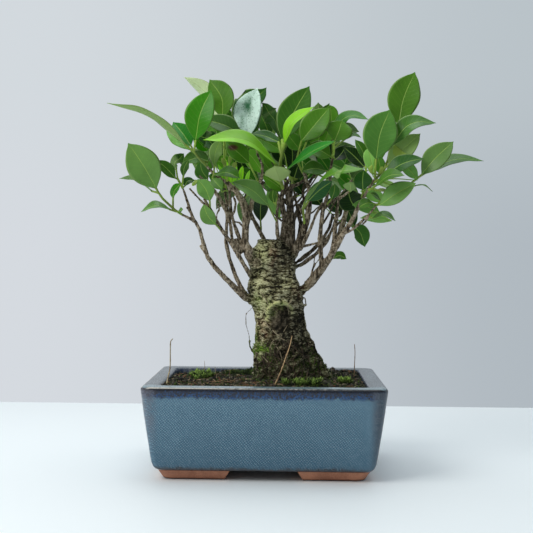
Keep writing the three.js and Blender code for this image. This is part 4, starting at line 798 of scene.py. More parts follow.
foot_dark = marked((278, 352, 9, 2.0, 1.0), (300, 345, 15, 1.6, 0.9), (310, 366, 16, 1.0, 0.9),
                   (288, 372, 16, 0.7, 0.9), (262, 376, 14, 0.5, 0.8))
foot_dark = unit(foot_dark)
rise = 1.05 * wrinkle * (1 - 0.6 * foot_dark) + 0.35 * pit + 1.5 * lump + 0.9 * knob
rise = on_trunk * (rise + 2.3 * low * root_fold + 1.7 * foot_dark * rough_foot)
# The right side of the foot draws in above the roots.
rise -= on_trunk * (0.9 + 4.6 * unit(np.cos(angle)) * hump(z, 103, 24))
rise += (1 - on_trunk) * (0.36 * crack + 0.32 * knob)
# A large branch was cut off at the front: a callus bulges over the upper left of the hollow scar.
SCAR = on_bark(280.5, 319.5)
from_scar = np.hypot(x - SCAR[0], (z - SCAR[2]) * 0.8) + 1.2 * clumps(P, 7, 45)
facing = y < SCAR[1] + 16
upper_left = unit(0.3 + (z - SCAR[2]) / 12 - (x - SCAR[0]) / 34)
callus = hump(from_scar, 11.6, 1.7) * upper_left * facing
hollow = unit((10.6 - from_scar) / 2.6) * facing
rise += 2.4 * callus - hollow * (3.4 + 1.1 * knob - 1.3 * rough_foot + 0.6 * on_trunk * wrinkle)
rise += marked((253.5, 249, 4.2, 1, 2.6), (262, 287, 7, 0.6, 1.3), (275, 275, 4, 2.4, -1.9), (259, 262.5, 3.2, 1, -2.0),
               (275, 262, 3, 3, -1.8), (268, 327, 5, 0.7, 1.6), (262, 350, 9, 1, 1.4), (290, 290, 7, 0.8, 1.1),
               (298, 318, 6, 1.5, 1.0), (272, 340, 3, 2, -1.6))
CUT_LEVEL = 196.5
cut_top = on_trunk * unit((z - CUT_LEVEL) / 1.2) * (x < 14)
rise = np.where(cut_top > 0.2, 0.5 * clumps(P, 3, 37), rise)
points = points + normals * rise[:, None] * MM
bark_tree = BVHTree.FromPolygons(points.tolist(), faces.tolist())

# What the material needs to know at each point: how far it stands out, and where moss, shade, rust and pale bark lie.
ridge = on_trunk * (wrinkle * (1 - foot_dark) + rough_foot * foot_dark) + (1 - on_trunk) * crack
ridge = ridge * (1 - hollow) + 0.8 * rough_foot * hollow
scaly = on_trunk * (1 - 0.8 * hollow)
patches = 0.75 + 0.9 * clumps(P, 4, 38)
mossy = marked((262, 353, 9, 0.9, 1.25), (255, 338, 6, 1.6, 0.6), (281, 305, 4, 1, 0.5), (318, 362, 8, 1, 0.4),
               (257, 300, 5, 2, 0.5), (270, 309, 4, 1.6, 0.7), (256, 356, 6, 1.2, 0.6))
mossy = unit(mossy + 0.1 * cut_top + 0.2 * low * on_trunk) * unit(patches)
shade = marked((278, 350, 8, 2.2, 0.9), (298, 340, 15, 1.8, 0.72), (312, 366, 16, 1, 0.7), (259, 263, 4, 1.2, 0.9),
               (276, 272, 4, 2.6, 0.7), (285, 250, 8, 1.9, 1.1), (300, 262, 9, 1.5, 0.5), (298, 318, 9, 2.2, 0.62),
               (284, 326, 8, 1.0, 0.5), (262, 376, 16, 0.6, 0.7), (253.5, 262, 4, 1.6, 0.8), (250, 289, 4, 1.3, 0.9),
               (276, 268, 3, 3.2, 0.4), (286, 372, 24, 0.55, 0.6), (296, 336, 6, 1.8, 0.5))
shade = unit(shade + 0.46 * hollow + 0.5 * low * on_trunk + 0.5 * cut_top) * on_trunk
back = unit((y + 14) / 26)
middle = unit((x + 2) / 12) * unit((66 - x) / 16)
shade += (1 - on_trunk) * unit(0.08 + 0.6 * back + 0.25 * clumps(P, 26, 39) + 0.38 * middle)
rust = marked((272.5, 254, 3.2, 3.0, 1.0), (266, 333, 9, 0.7, 0.75), (284, 352, 8, 0.8, 0.6), (300, 292, 7, 1.2, 0.45),
              (262, 322, 8, 0.5, 0.4))
rust = unit(rust) * unit(0.5 + clumps(P, 3, 40))
pale = marked((262, 252, 8, 1.5, 1.5), (258, 282, 8, 1.6, 0.85), (264, 302, 9, 1.0, 0.9), (284, 284, 10, 0.9, 0.6),
              (258, 322, 7, 1.6, 0.6), (260, 350, 6, 1.4, 0.6))
pale = np.clip(2.6 * callus + pale, 0, 1.9) * on_trunk
bark_marks = {"ridge": ridge, "mossy": mossy, "shade": shade, "rust": rust, "pale": pale, "on_trunk": scaly}

bark, spot = new_finish("fig_bark")
mark = {key: spot.stored(key) for key in bark_marks}
on_scaly = mark["on_trunk"]
fleck = spot.noise(0.0012, 3, (1.6, 1.6, 0.7), 0.7)
cloud = spot.noise(0.011, 3)
# On the trunk the bark breaks into small flat scales that lie across it, between thin creases painted dark, partly
# as painted shade.
drift = spot.node("Mapping", None, {0: spot, 3: [140.0] * 3}).node("TexNoise", None, {"Scale": 1.0, "Detail": 1.0}, 1)
bent = spot.node("VectorMath", {"operation": "MULTIPLY_ADD"}, {0: drift, 1: [0.009, 0.009, 0.0075], 2: spot})
scale = bent.cells(0.0016, (2.7, 2.7, 1.0)).ramp(0.66, 0.3)
patch = spot.noise(0.005, 3, (1.6, 1.6, 1), 0.6)
small_scale = bent.cells(0.0009, (2.2, 2.2, 1.0)).ramp(0.7, 0.25)
scales = mark["ridge"].ramp(0.12, 0.75) * 0.38 + scale * 0.26 + small_scale * 0.3
scales = scales + (fleck - 0.5) * 0.35 + (patch - 0.5) * 0.8
crest = spot.node("Mix", None, {0: on_scaly, 2: mark["ridge"].ramp(0.5, 0.95), 3: scales.ramp(0.32, 0.9)})
crease_dark_and_shade = spot.node("Mix", None, {0: on_scaly, 2: mark["ridge"].ramp(0.4, 0.08), 3: scales.ramp(0.46, 0.14)})
limb_tone = (fleck * 0.6 + cloud * 0.4).ramp(0.36, 0.6).mix(tone(80, 68, 54), tone(166, 150, 126))
trunk_tone = (cloud * 0.5 + fleck * 0.5).ramp(0.36, 0.64).mix(tone(82, 74, 52), tone(124, 116, 84))
body = on_scaly.mix(limb_tone, trunk_tone)
# The crests are painted pale: partly the bark's own pale tone, partly a painted highlight.
crest_pale_and_highlight = on_scaly.mix(tone(220, 208, 186), tone(244, 240, 204))
body = (crest * (fleck.ramp(0.34, 0.54) * 0.55 + mark["pale"] * 0.45)).mix(body, crest_pale_and_highlight)
body = (mark["pale"] * (scales + 0.2) * 0.5).mix(body, tone(202, 206, 140))
# The creases are painted dark: partly the bark's own dark tone, partly painted shade.
body = (crease_dark_and_shade * (on_scaly * 0.1 + 0.82)).mix(body, tone(30, 26, 20))
# Rust is painted lighter on the crests, and the painted shade is lighter there, as part of their painted highlight.
body = (mark["rust"] * 0.75).mix(body, crest.mix(tone(84, 44, 32), tone(176, 124, 96)))
body = (mark["shade"] * (1 - crest * 0.42) * 0.86).mix(body, tone(24, 24, 19))
moss_tone = fleck.ramp(0.42, 0.62).mix(tone(46, 66, 26), tone(134, 172, 62))
body = (mark["mossy"] * cloud.ramp(0.36, 0.55)).mix(body, moss_tone)
spot.finish(body, 0.92, scales * on_scaly * 1.6 + fleck * 0.7, 0.0006, Specular_IOR_Level=0.2)


def mark_points(piece, **marks):
    """Stores numbers at the points of a piece under their names: one for all points, or one for each."""
    for name, values in marks.items():
        values = np.broadcast_to(values, len(piece.data.vertices)).astype(np.float32)
        piece.data.attributes.new(name, "FLOAT", "POINT").data.foreach_set("value", values)


# The wood is parted where the trunk's scales end. Both pieces keep the normals of the whole, so no seam shows.
of_trunk = on_trunk[faces].mean(axis=1) > 0.5
whole = bpy.data.meshes.new("whole")
whole.from_pydata(points.tolist(), [], faces.tolist())
bark_normals = np.empty(len(points) * 3)
whole.vertices.foreach_get("normal", bark_normals)
bark_normals = bark_normals.reshape(-1, 3)
bpy.data.meshes.remove(whole)
for name, chosen in (("trunk_bark", of_trunk), ("branch_bark", ~of_trunk)):
    used, index = np.unique(faces[chosen], return_inverse=True)
    wood = add_piece(name, points[used], index.reshape(-1, 4), bark, "bark", "trunk_and_branches", turned=False)
    mark_points(wood, **{key: values[used] for key, values in bark_marks.items()})
    wood.data.normals_split_custom_set_from_vertices(bark_normals[used].tolist())

# Thin pale roots cling to the trunk's front, and tufts of moss grow on its foot and on the cut top.
CLINGING = [
    [(265, 320), (268.5, 327), (272.5, 332.5)], [(272.5, 330), (276, 333.5), (281, 336), (284, 331), (287.5, 325)],
    [(270, 348), (273, 341), (279, 338), (285, 340)], [(268, 362), (262, 356), (256, 352)],
    [(292, 300), (288, 306), (289, 314)], [(261, 292), (266, 300), (270, 309)], [(276, 346), (280, 352), (282, 360)],
]
CLINGING_ROWS, CLINGING_SIDES = 26, 5
clinging = [curve_through([on_bark(*p) for p in pixels], CLINGING_ROWS) + [0, -0.4, 0] for pixels in CLINGING]
clinging = [(placed(path), np.linspace(0.5, 0.22, CLINGING_ROWS)) for path in clinging]
root_tones = [light(168, 156, 128)] * len(CLINGING)
# Short dark root fibres lie criss-cross over the foot. One that would leave the foot's outline is left out.
FIBRES, FIBRE_ROWS, FIBRE_REACH = 170, 12, 14
for _ in range(FIBRES):
    u, v = chance.uniform(252, 326), chance.uniform(338, 376)
    slant, fall = chance.normal(0, 5), chance.uniform(3, 11)
    rays = [Vector(sight(u + slant * t, v + fall * t)).normalized() for t in (0, 0.5, 1)]
    held = [bark_tree.ray_cast(Vector(EYE), ray)[0] for ray in rays]
    if None in held or max((held[0] - held[1]).length, (held[1] - held[2]).length) > FIBRE_REACH * MM:
        continue
    path = curve_through(from_pot(held), FIBRE_ROWS)
    path = path + [0, -chance.uniform(0.1, 0.7), 0]
    clinging.append((placed(path), np.linspace(0.42, 0.2, FIBRE_ROWS) * chance.uniform(0.7, 1.3)))
    root_tones.append(light(58, 50, 40) * chance.uniform(0.4, 3.0))
clinging_roots = add_piece("clinging_roots", *join_tubes(clinging, CLINGING_SIDES), fibre, "bark")
paint(clinging_roots, np.repeat(root_tones, [len(path) * CLINGING_SIDES for path, _ in clinging], axis=0))

tuft = np.flatnonzero((mossy > 0.42) & (on_trunk > 0.6) & (chance.random(len(P)) < 0.08))
on_foot = (foot_dark + low > 0.6) & (z < 112) & (z > 73) & (on_trunk > 0.9)
tuft = np.concatenate([tuft, np.flatnonzero(on_foot & (chance.random(len(P)) < 0.035))])
places = from_pot(points[tuft]) - normals[tuft] * 0.3
share = unit(mossy[tuft] * 1.3 + chance.normal(0, 0.18, len(tuft)))[:, None]
tall = chance.gamma(8, 0.16, len(tuft)) + 0.3
add_sprigs("trunk_moss", places, tall, blend(share, light(38, 42, 24), light(112, 152, 44)))

# ---- leaves: broad pointed blades of a fig on short stalks, glossy above and paler beneath, with a light midrib.
# Each leaf's place, size and bend are read from its CAD solid, and a fine blade is drawn through the same stations.
STATIONS = np.array([0.02, 0.2, 0.43, 0.67, 0.87])
ACROSS = np.array([-1, -0.86, -0.62, -0.36, -0.14, -0.045, 0, 0.045, 0.14, 0.36, 0.62, 0.86, 1])
AROUND = 2 * len(ACROSS) - 2
ROWS = 0.02 + 0.98 * np.concatenate([np.linspace(0, 0.84, 22), [0.885, 0.925, 0.955, 0.978, 0.992, 1.0]])
BLADE_POINTS = len(ROWS) * AROUND
# The whitish tone is a painted reflection of the daylight, for the one leaf that carries it.
TONES = {
    "bright": (128, 202, 42), "vivid": (134, 204, 34), "fresh": (62, 138, 20), "grass": (52, 114, 18),
    "mid": (70, 118, 38), "plain": (58, 106, 30), "clear": (84, 138, 58), "soft": (112, 158, 80),
    "emerald": (38, 128, 32), "olive": (82, 134, 38), "dark": (42, 90, 26), "deep": (24, 52, 20),
    "bluish": (96, 142, 70), "pale": (138, 176, 96), "cream": (176, 210, 126), "light": (236, 255, 204),
    "grey": (66, 112, 46), "teal": (40, 88, 46), "shiny": (206, 228, 216),
}
# The leaves of each shoot, from the one with its tip furthest left to the one furthest right.
LEAF_TONES = {
    "left_high": "pale emerald mid fresh", "left_low": "bluish soft bluish fresh mid",
    "left_mid": "mid grey mid dark", "left_hanging": "soft", "left_round": "soft", "left_dark": "mid",
    "left_node": "pale soft plain", "left_crown": "light dark olive", "centre_crown": "grey shiny dark",
    "centre_brown_spot": "olive", "centre_drooping": "soft", "centre_dark_left": "deep", "centre_small": "mid mid",
    "centre_top": "bright dark cream plain vivid", "centre_top_back": "grey grey", "centre_dark": "deep deep",
    "right_crown": "olive mid", "right_emerald": "emerald", "right_grey": "mid", "right_drooping": "teal olive",
    "right_small": "grey", "right_olive": "olive olive deep grass grass", "right_inner": "deep dark mid dark",
    "right_shade": "deep", "right_pale": "pale", "right_low": "mid grey soft mid bluish mid", "right_curl": "bluish",
    "right_behind": "grey", "right_lowest": "mid", "right_flat": "clear", "right_high": "olive pale mid",
    "right_mid": "dark", "right_light": "mid",
}

foliage, spot = new_finish("fig_leaf")
tint = spot.stored("tint", 0)
under, wooden, shine, brown = (spot.stored(name) for name in ("under", "wooden", "shine", "brown"))
across, along, half = spot.stored("blade", 1).parts()
midrib = (abs(across) * half).ramp(0.5, 0.12) * (1 - wooden) * along.ramp(1.0, 0.75)
VEINS, VEIN_SLANT = 11, 1.9
vein = abs(spot.math("FRACT", along * VEINS - abs(across) * VEIN_SLANT) - 0.5).ramp(0.14, 0.02)
vein = vein * abs(across).ramp(0.98, 0.7) * (1 - wooden)
margin = abs(across).ramp(0.92, 0.99) * (1 - wooden)
cloud = spot.noise(0.014, 3)
top = (cloud.ramp(0.34, 0.68) * 0.14).mix(tint, tone(30, 56, 16))
# One half of each blade, across the midrib, is painted a little darker: painted shade of the folded blade.
top = (across.ramp(-0.1, 0.1) * 0.12).mix(top, tone(30, 60, 16))
top = (vein * 0.07).mix(top, tone(150, 190, 80))
top = (midrib * 0.65 + margin * 0.6).mix(top, tone(160, 196, 92))
bottom = spot.node("Mix", {"data_type": "RGBA"}, {0: 0.4, 6: tint, 7: tone(122, 146, 88)}, 2)
bottom = (midrib * 0.6 + vein * 0.2 + margin * 0.3).mix(bottom, tone(168, 188, 116))
green = under.mix(top, bottom)
# One leaf carries a painted reflection of the daylight, in whitish patches broken by small round spots, and one
# has a brown spot.
round_spot = spot.cells(0.0017).ramp(0.36, 0.16)
reflection_share = spot.noise(0.008, 4, (1, 1, 2.2), 0.62)
reflection_mask = (reflection_share * 2.0 + shine * 1.1 - round_spot * 0.45).ramp(0.95, 2.2)
green = shine.ramp(0.0, 0.05).mix(green, reflection_mask.mix(tone(40, 104, 62), tint))
green = brown.mix(green, cloud.ramp(0.4, 0.6).mix(tone(70, 44, 38), tone(104, 70, 56)))
relief = (1 - under * 2) * (0 - midrib * 0.6 - vein * 0.16) + spot.noise(0.0045, 2) * 0.4 + round_spot * shine
spot.finish(green, under * 0.2 + cloud * 0.1 + 0.3 - shine * 0.15, relief, 0.0002, Specular_IOR_Level=0.24)


RING, MOST_RINGS, FEWEST_RINGS, NARROWEST = 5, 5, 3, 5 * MM


def find_leaves(corners, edges):
    """Every leaf of a shoot's CAD solid as its tip and its rings, from left to right. A leaf ends in one point with
    five neighbours, followed by closed rings of five points."""
    joined = np.zeros((len(corners), len(corners)), bool)
    joined[edges[:, 0], edges[:, 1]] = joined[edges[:, 1], edges[:, 0]] = True
    leaves = []
    for tip in np.flatnonzero(joined.sum(axis=0) == RING):
        known, ring, rings = np.arange(len(corners)) == tip, joined[tip], []
        while ring.sum() == RING and len(rings) < MOST_RINGS and (joined[ring][:, ring].sum(axis=0) == 2).all():
            rings.append(np.flatnonzero(ring))
            known = known | ring
            ring = joined[ring].any(axis=0) & ~known
        if len(rings) >= FEWEST_RINGS and np.ptp(corners[rings[2]], axis=0).max() > NARROWEST:
            leaves.append((tip, rings))
    return sorted(leaves, key=lambda leaf: corners[leaf[0], 0])


BASE_THICKNESS, BLADE_THICKNESS = 0.75 * MM, 0.45 * MM


def leaf_frame(corners, tip, rings):
    """The midrib's points, half-widths and side and upward directions at the stations, from base to tip. In each
    ring the edges lie furthest apart along one side direction, and the highest other point is the midrib's top."""
    wide = corners[rings[2]]
    gap = np.linalg.norm(wide[:, None] - wide[None], axis=2)
    a, b = np.unravel_index(gap.argmax(), gap.shape)
    rest = [i for i in range(RING) if i not in (a, b)]
    middle = (wide[a] + wide[b]) / 2
    top = min(rest, key=lambda i: abs(gap[i, a] - gap[i, b]))
    up = wide[top] - wide[[i for i in rest if i != top]].mean(axis=0)
    forward = corners[tip] - middle
    side = np.cross(forward, up)
    side /= np.linalg.norm(side)
    centres, halves, sides, ups = [], [], [], []
    for k, ring in enumerate(reversed(rings)):
        right, *others, left = corners[ring][np.argsort(corners[ring] @ side)]
        others = np.array(others)
        high = np.argmax(others @ up)
        lift = others[high] - np.delete(others, high, axis=0).mean(axis=0)
        lift /= np.linalg.norm(lift)
        thick = BASE_THICKNESS if k == 0 and len(rings) == MOST_RINGS else BLADE_THICKNESS
        centres.append(others[high] - lift * thick)
        halves.append(np.linalg.norm(left - right) / 2)
        sides.append((left - right) / np.linalg.norm(left - right))
        ups.append(lift)
    stations = list(STATIONS[-len(rings):])
    for station in STATIONS[:-len(rings)][::-1]:  # a ring that a stem or a leaf hides lies straight on from the others
        further = (stations[0] - station) / (stations[1] - stations[0])
        centres.insert(0, centres[0] + (centres[0] - centres[1]) * further)
        halves.insert(0, max(halves) * np.interp(station, [0.02, 0.2, 0.43], [0.07, 0.66, 1]))
        sides.insert(0, sides[0])
        ups.insert(0, ups[0])
        stations.insert(0, station)
    return (np.append(stations, 1.0), np.array([*centres, corners[tip]]), np.array([*halves, 0.0]),
            np.array([*sides, sides[-1]]), np.array([*ups, ups[-1]]))


def through(stations, values, at):
    """Values at the given places of a smooth curve through the stations: a cubic between each two, whose slope at
    a station is that of the parabola through it and its neighbours."""
    stations, values, at = np.asarray(stations, float), np.asarray(values, float), np.asarray(at, float)
    slopes = np.gradient(values, stations, axis=0)
    k = np.clip(np.searchsorted(stations, at, side="right") - 1, 0, len(stations) - 2)
    gap = stations[k + 1] - stations[k]
    t = (at - stations[k]) / gap
    if values.ndim > 1:
        t, gap = t[:, None], gap[:, None]
    return ((1 + 2 * t) * (1 - t) ** 2 * values[k] + t * (1 - t) ** 2 * gap * slopes[k]
            + t * t * (3 - 2 * t) * values[k + 1] + t * t * (t - 1) * gap * slopes[k + 1])


def leaf_points(stations, centres, halves, sides, ups, ripple, phase):
    """The points of a thin closed blade, their places on it and their undersides. Across it the upper face rises
    like |u| to the power 1.4 towards both edges and waves a little there, the midrib is a groove above and a rib
    below, and the thickness falls from midrib to edge."""
    centre = through(stations, centres, ROWS)
    half = np.maximum(through(stations, halves, ROWS), 0)
    half *= 1 - 0.2 * hump(ROWS, 0.955, 0.035)  # the point is drawn out
    half[-1] = 0.05 * MM
    side = through(stations, sides, ROWS)
    up = through(stations, ups, ROWS)
    forward = np.gradient(centre, axis=0)
    forward /= np.linalg.norm(forward, axis=1, keepdims=True)
    side -= (side * forward).sum(axis=1, keepdims=True) * forward
    side /= np.linalg.norm(side, axis=1, keepdims=True)
    lift = np.cross(side, forward)
    lift *= np.sign((lift * up).sum(axis=1, keepdims=True))
    u = np.concatenate([ACROSS, ACROSS[-2:0:-1]])
    face = np.concatenate([np.ones(len(ACROSS)), -np.ones(len(ACROSS) - 2)])
    face[[0, len(ACROSS) - 1]] = 0
    s = ROWS[:, None]
    wave = ripple * np.sin(2 * np.pi * (2.1 * s + phase + 0.31 * (u > 0))) * np.abs(u) ** 2.5
    wave = wave * np.sin(np.pi * unit(s)) ** 0.5
    rise = half[:, None] * (0.2 * np.abs(u) ** 1.4 + wave)
    thick = (0.24 + 0.22 * (1 - np.abs(u)) + 1.05 * np.exp(-(s - 0.02) / 0.035)) * MM
    rib = hump(u * half[:, None], 0, 0.45 * MM) * unit(half[:, None] / (3 * MM)) * (1 - s)
    rise = rise + face * thick / 2 - rib * np.where(face > 0, 0.14, 0.3) * MM
    points = centre[:, None] + side[:, None] * (half[:, None] * u)[..., None] + lift[:, None] * rise[..., None]
    places = np.stack(np.broadcast_arrays(u, s, half[:, None] / MM), axis=-1)
    return points.reshape(-1, 3), places.reshape(-1, 3), np.tile((face <= 0) * 1.0, len(ROWS))


def shown_at(points):
    """The pixels of the photograph at which points are seen."""
    ray = points - EYE
    far = ray @ AHEAD
    return MIDDLE_U + FOCAL * (ray @ LENS_RIGHT) / far, HORIZON_V - FOCAL * (ray @ LENS_UP) / far


def add_foliage(name, blades, wood, wood_faces, *nodes):
    """One piece of leaf blades and their green wood, which comes last. Each is given as its points, their places on
    the blade, undersides and colours."""
    points, places, under, tints = (np.concatenate(part) for part in zip(*blades, wood))
    faces = sum((grid_faces(len(ROWS), AROUND, k * BLADE_POINTS) for k in range(len(blades))), [])
    piece = add_piece(name, points, faces + wood_faces, foliage, "foliage", *nodes)
    paint(piece, tints)
    piece.data.attributes.new("blade", "FLOAT_VECTOR", "POINT").data.foreach_set("vector", places.ravel())
    mark_points(piece, under=under, wooden=np.arange(len(points)) >= len(blades) * BLADE_POINTS)
    return piece, shown_at(points)


# Shoots that are not listed stand at the back, in the crown's shade, and get dark tones: painted shade.
SHADED_BACK_TONES = ["mid", "dark", "dark", "olive", "deep"]
STEM_VOXEL, STEM_GROWTH, THICK_STEM_GROWTH = 0.00034, 0.28, 0.75
leaf_chance = np.random.default_rng(8)
for node in sorted(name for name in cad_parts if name.startswith("leaves_")):
    shell = merged_copy(node)
    corners = np.array([v.co for v in shell.verts])
    edges = np.array([[v.index for v in e.verts] for e in shell.edges])
    leaves = find_leaves(corners, edges)
    shoot = node.removeprefix("leaves_")
    words = LEAF_TONES.get(shoot, "").split() or [leaf_chance.choice(SHADED_BACK_TONES) for _ in leaves]
    words = (words + ["mid"] * len(leaves))[:len(leaves)]
    blades, in_blade = [], np.zeros(len(corners), bool)
    for (tip, rings), word in zip(leaves, words):
        in_blade[[tip, *np.concatenate(rings)]] = True
        blade = leaf_points(*leaf_frame(corners, tip, rings), leaf_chance.uniform(0.02, 0.075), leaf_chance.random())
        tint = light(*TONES[word]) * leaf_chance.uniform(0.9, 1.1, 3) ** 0.6 * 1.04
        blades.append((*blade, tint * (1 + 0.14 * (blade[1][:, 1:2] - 0.5))))
    # The stem and the stalks are what is left of the solid without its blades, closed and rounded.
    gone = [f for f in shell.faces if all(in_blade[v.index] for v in f.verts)]
    bmesh.ops.delete(shell, geom=gone, context="FACES")
    bmesh.ops.delete(shell, geom=[v for v in shell.verts if not v.link_faces], context="VERTS")
    bmesh.ops.holes_fill(shell, edges=shell.edges, sides=0)
    points, faces, normals = remeshed(shell, STEM_VOXEL)
    shell.free()
    points = points + normals * (THICK_STEM_GROWTH if shoot == "centre_top" else STEM_GROWTH) * MM
    woody = unit(0.5 + 0.9 * clumps(points, 0.012, 50))[:, None]
    wood = points, 0 * points, np.zeros(len(points)), blend(woody, light(166, 200, 84), light(122, 142, 66))
    wood_faces = (faces + len(blades) * BLADE_POINTS).tolist()
    piece, (u, v) = add_foliage(node + "_fine", blades, wood, wood_faces, node)
    if shoot == "centre_brown_spot":
        mark_points(piece, brown=unit(2.4 - 2 * np.hypot((u - 233) / 5.5, (v - 147.5) / 3)))
    if shoot == "centre_crown":
        # The painted reflection fades at two spots, where the leaf shows its own green.
        unreflecting = hump(u, 248, 4.2) * hump(v, 105, 10) + 0.6 * hump(u, 243, 2.5) * hump(v, 118, 7)
        reflection_share = np.append(np.repeat(np.array(words) == "shiny", BLADE_POINTS), np.zeros(len(points)))
        mark_points(piece, shine=reflection_share * np.clip(1 - 0.85 * unreflecting, 0.1, 1))

# ---- inner shoots: small shaded leaves and thin twigs fill the middle of the crown. Each leaf's stalk starts at the
# nearest wood, and each twig starts on wood and ends on wood where some lies near its end.
INNER_TWIGS = [  # pixels with their depths, then the radius in millimetres
    ([(300, 226, 16), (297, 208, 18), (294, 190, 16), (292, 176, 14)], 1.3),
    ([(312, 224, 18), (306, 208, 20), (303, 192, 18), (306, 176, 15)], 1.5),
    ([(301, 214, 10), (307, 203, 8), (316, 193, 6), (326, 185, 6)], 1.0),
    ([(316, 234, 14), (324, 222, 16), (332, 208, 16), (338, 194, 14)], 1.3),
    ([(322, 246, 10), (331, 232, 12), (343, 218, 14), (351, 206, 12)], 1.4),
    ([(296, 206, 6), (302, 196, 8), (309, 188, 10), (320, 172, 12)], 0.9),
    ([(309, 216, 12), (316, 209, 14), (324, 204, 12), (333, 200, 8)], 0.9),
    ([(338, 222, 16), (342, 208, 18), (344, 196, 18), (349, 184, 16)], 1.2),
    ([(232, 214, 4), (229, 202, 6), (231, 190, 4), (228, 178, 2)], 0.7),
    ([(246, 222, 6), (243, 206, 8), (246, 190, 8), (241, 174, 6)], 0.8),
    ([(272, 220, 4), (274, 206, 6), (271, 192, 6), (276, 176, 4)], 0.9),
    ([(278, 200, 0), (282, 188, 4), (277, 174, 6), (270, 158, 6)], 0.7),
]
INNER_LEAVES = [  # base and tip pixels, depth, width in millimetres and tone
    ((284, 153), (254, 138), 4, 19, "olive"), ((263, 174), (245, 151), 4, 17, "olive"),
    ((273, 175), (256, 155), 10, 17, "olive"), ((259, 186), (240, 168), 8, 15, "plain"),
    ((285, 192), (262, 176), 6, 14, "olive"), ((280, 218), (267, 191), 2, 12, "soft"),
    ((304, 196), (289, 178), 20, 14, "deep"), ((322, 206), (306, 194), 22, 15, "deep"),
    ((341, 214), (326, 200), 24, 14, "deep"), ((354, 228), (346, 206), 18, 14, "deep"),
    ((386, 203), (360, 191), -26, 12, "soft"), ((380, 213), (352, 205), -28, 12, "bluish"),
    ((392, 221), (360, 218), -30, 9, "soft"), ((373, 176), (368, 148), -34, 13, "soft"),
    ((382, 176), (377, 154), -34, 10, "mid"), ((313, 172), (296, 156), 10, 14, "dark"),
    ((331, 174), (318, 155), 12, 13, "dark"), ((348, 171), (328, 162), 12, 13, "grey"),
    ((208, 151), (193, 136), -20, 12, "fresh"), ((190, 150), (166, 130), -30, 14, "bluish"),
    ((323, 146), (331, 126), 2, 14, "olive"), ((332, 132), (330, 105), 4, 13, "olive"),
    ((243, 186), (225, 176), 0, 10, "mid"), ((418, 180), (400, 160), -46, 11, "bluish"),
    ((400, 190), (372, 180), -38, 9, "pale"), ((300, 150), (286, 132), 8, 15, "mid"),
    ((236, 172), (214, 160), 6, 15, "olive"), ((226, 190), (208, 176), 4, 12, "plain"),
    ((212, 172), (196, 158), -4, 13, "mid"), ((352, 190), (336, 174), 14, 15, "grass"),
    ((262, 160), (250, 132), 30, 20, "dark"), ((286, 166), (276, 136), 34, 20, "deep"),
    ((306, 160), (302, 130), 32, 20, "dark"), ((322, 170), (330, 142), 30, 19, "deep"),
    ((342, 176), (350, 150), 26, 18, "dark"), ((246, 176), (232, 150), 30, 18, "deep"),
    ((272, 178), (262, 160), 36, 16, "deep"), ((300, 182), (310, 160), 38, 17, "dark"),
    ((232, 168), (222, 140), 26, 17, "dark"), ((230, 188), (225, 158), -14, 4, "vivid"),
    ((234, 188), (236, 160), -12, 4, "bright"), ((239, 192), (243, 166), -10, 5, "vivid"),
    ((226, 184), (218, 164), -16, 4, "bright"), ((244, 194), (250, 170), -8, 4, "bright"),
    ((233, 192), (230, 172), -18, 3, "vivid"), ((252, 198), (258, 178), -4, 5, "olive"),
    ((222, 192), (214, 178), -12, 5, "olive"), ((210, 152), (202, 108), 14, 18, "mid"),
    ((248, 150), (250, 100), 20, 20, "grey"), ((300, 150), (297, 98), 16, 20, "mid"),
    ((318, 156), (320, 116), 24, 20, "olive"), ((379, 164), (381, 120), -2, 18, "mid"),
    ((286, 152), (290, 116), 30, 18, "grey"), ((226, 150), (222, 98), 10, 18, "plain"),
    ((262, 158), (244, 118), 14, 16, "mid"),
]
TWIG_ROWS, FAR_FROM_WOOD = 40, 12
twigs = []
for pixels, radius in INNER_TWIGS:
    path = curve_through([seen(*p) for p in pixels], 30)
    start, end = (np.array(bark_tree.find_nearest(Vector(path[i]))[0]) for i in (0, -1))
    if np.linalg.norm(end - path[-1]) > FAR_FROM_WOOD * MM:
        end = path[-1]
    path = curve_through([start, *path[5:-5:5], end], TWIG_ROWS)
    gnarl = 1 + 0.22 * clumps(path, 0.004, 61)
    twigs.append((path, radius * np.linspace(1, 0.6, TWIG_ROWS) * gnarl))
twigs = add_piece("inner_twigs", *join_tubes(twigs, 9), bark, "bark")
mark_points(twigs, ridge=0.45, mossy=0, shade=0.72, rust=0, pale=0, on_trunk=0)

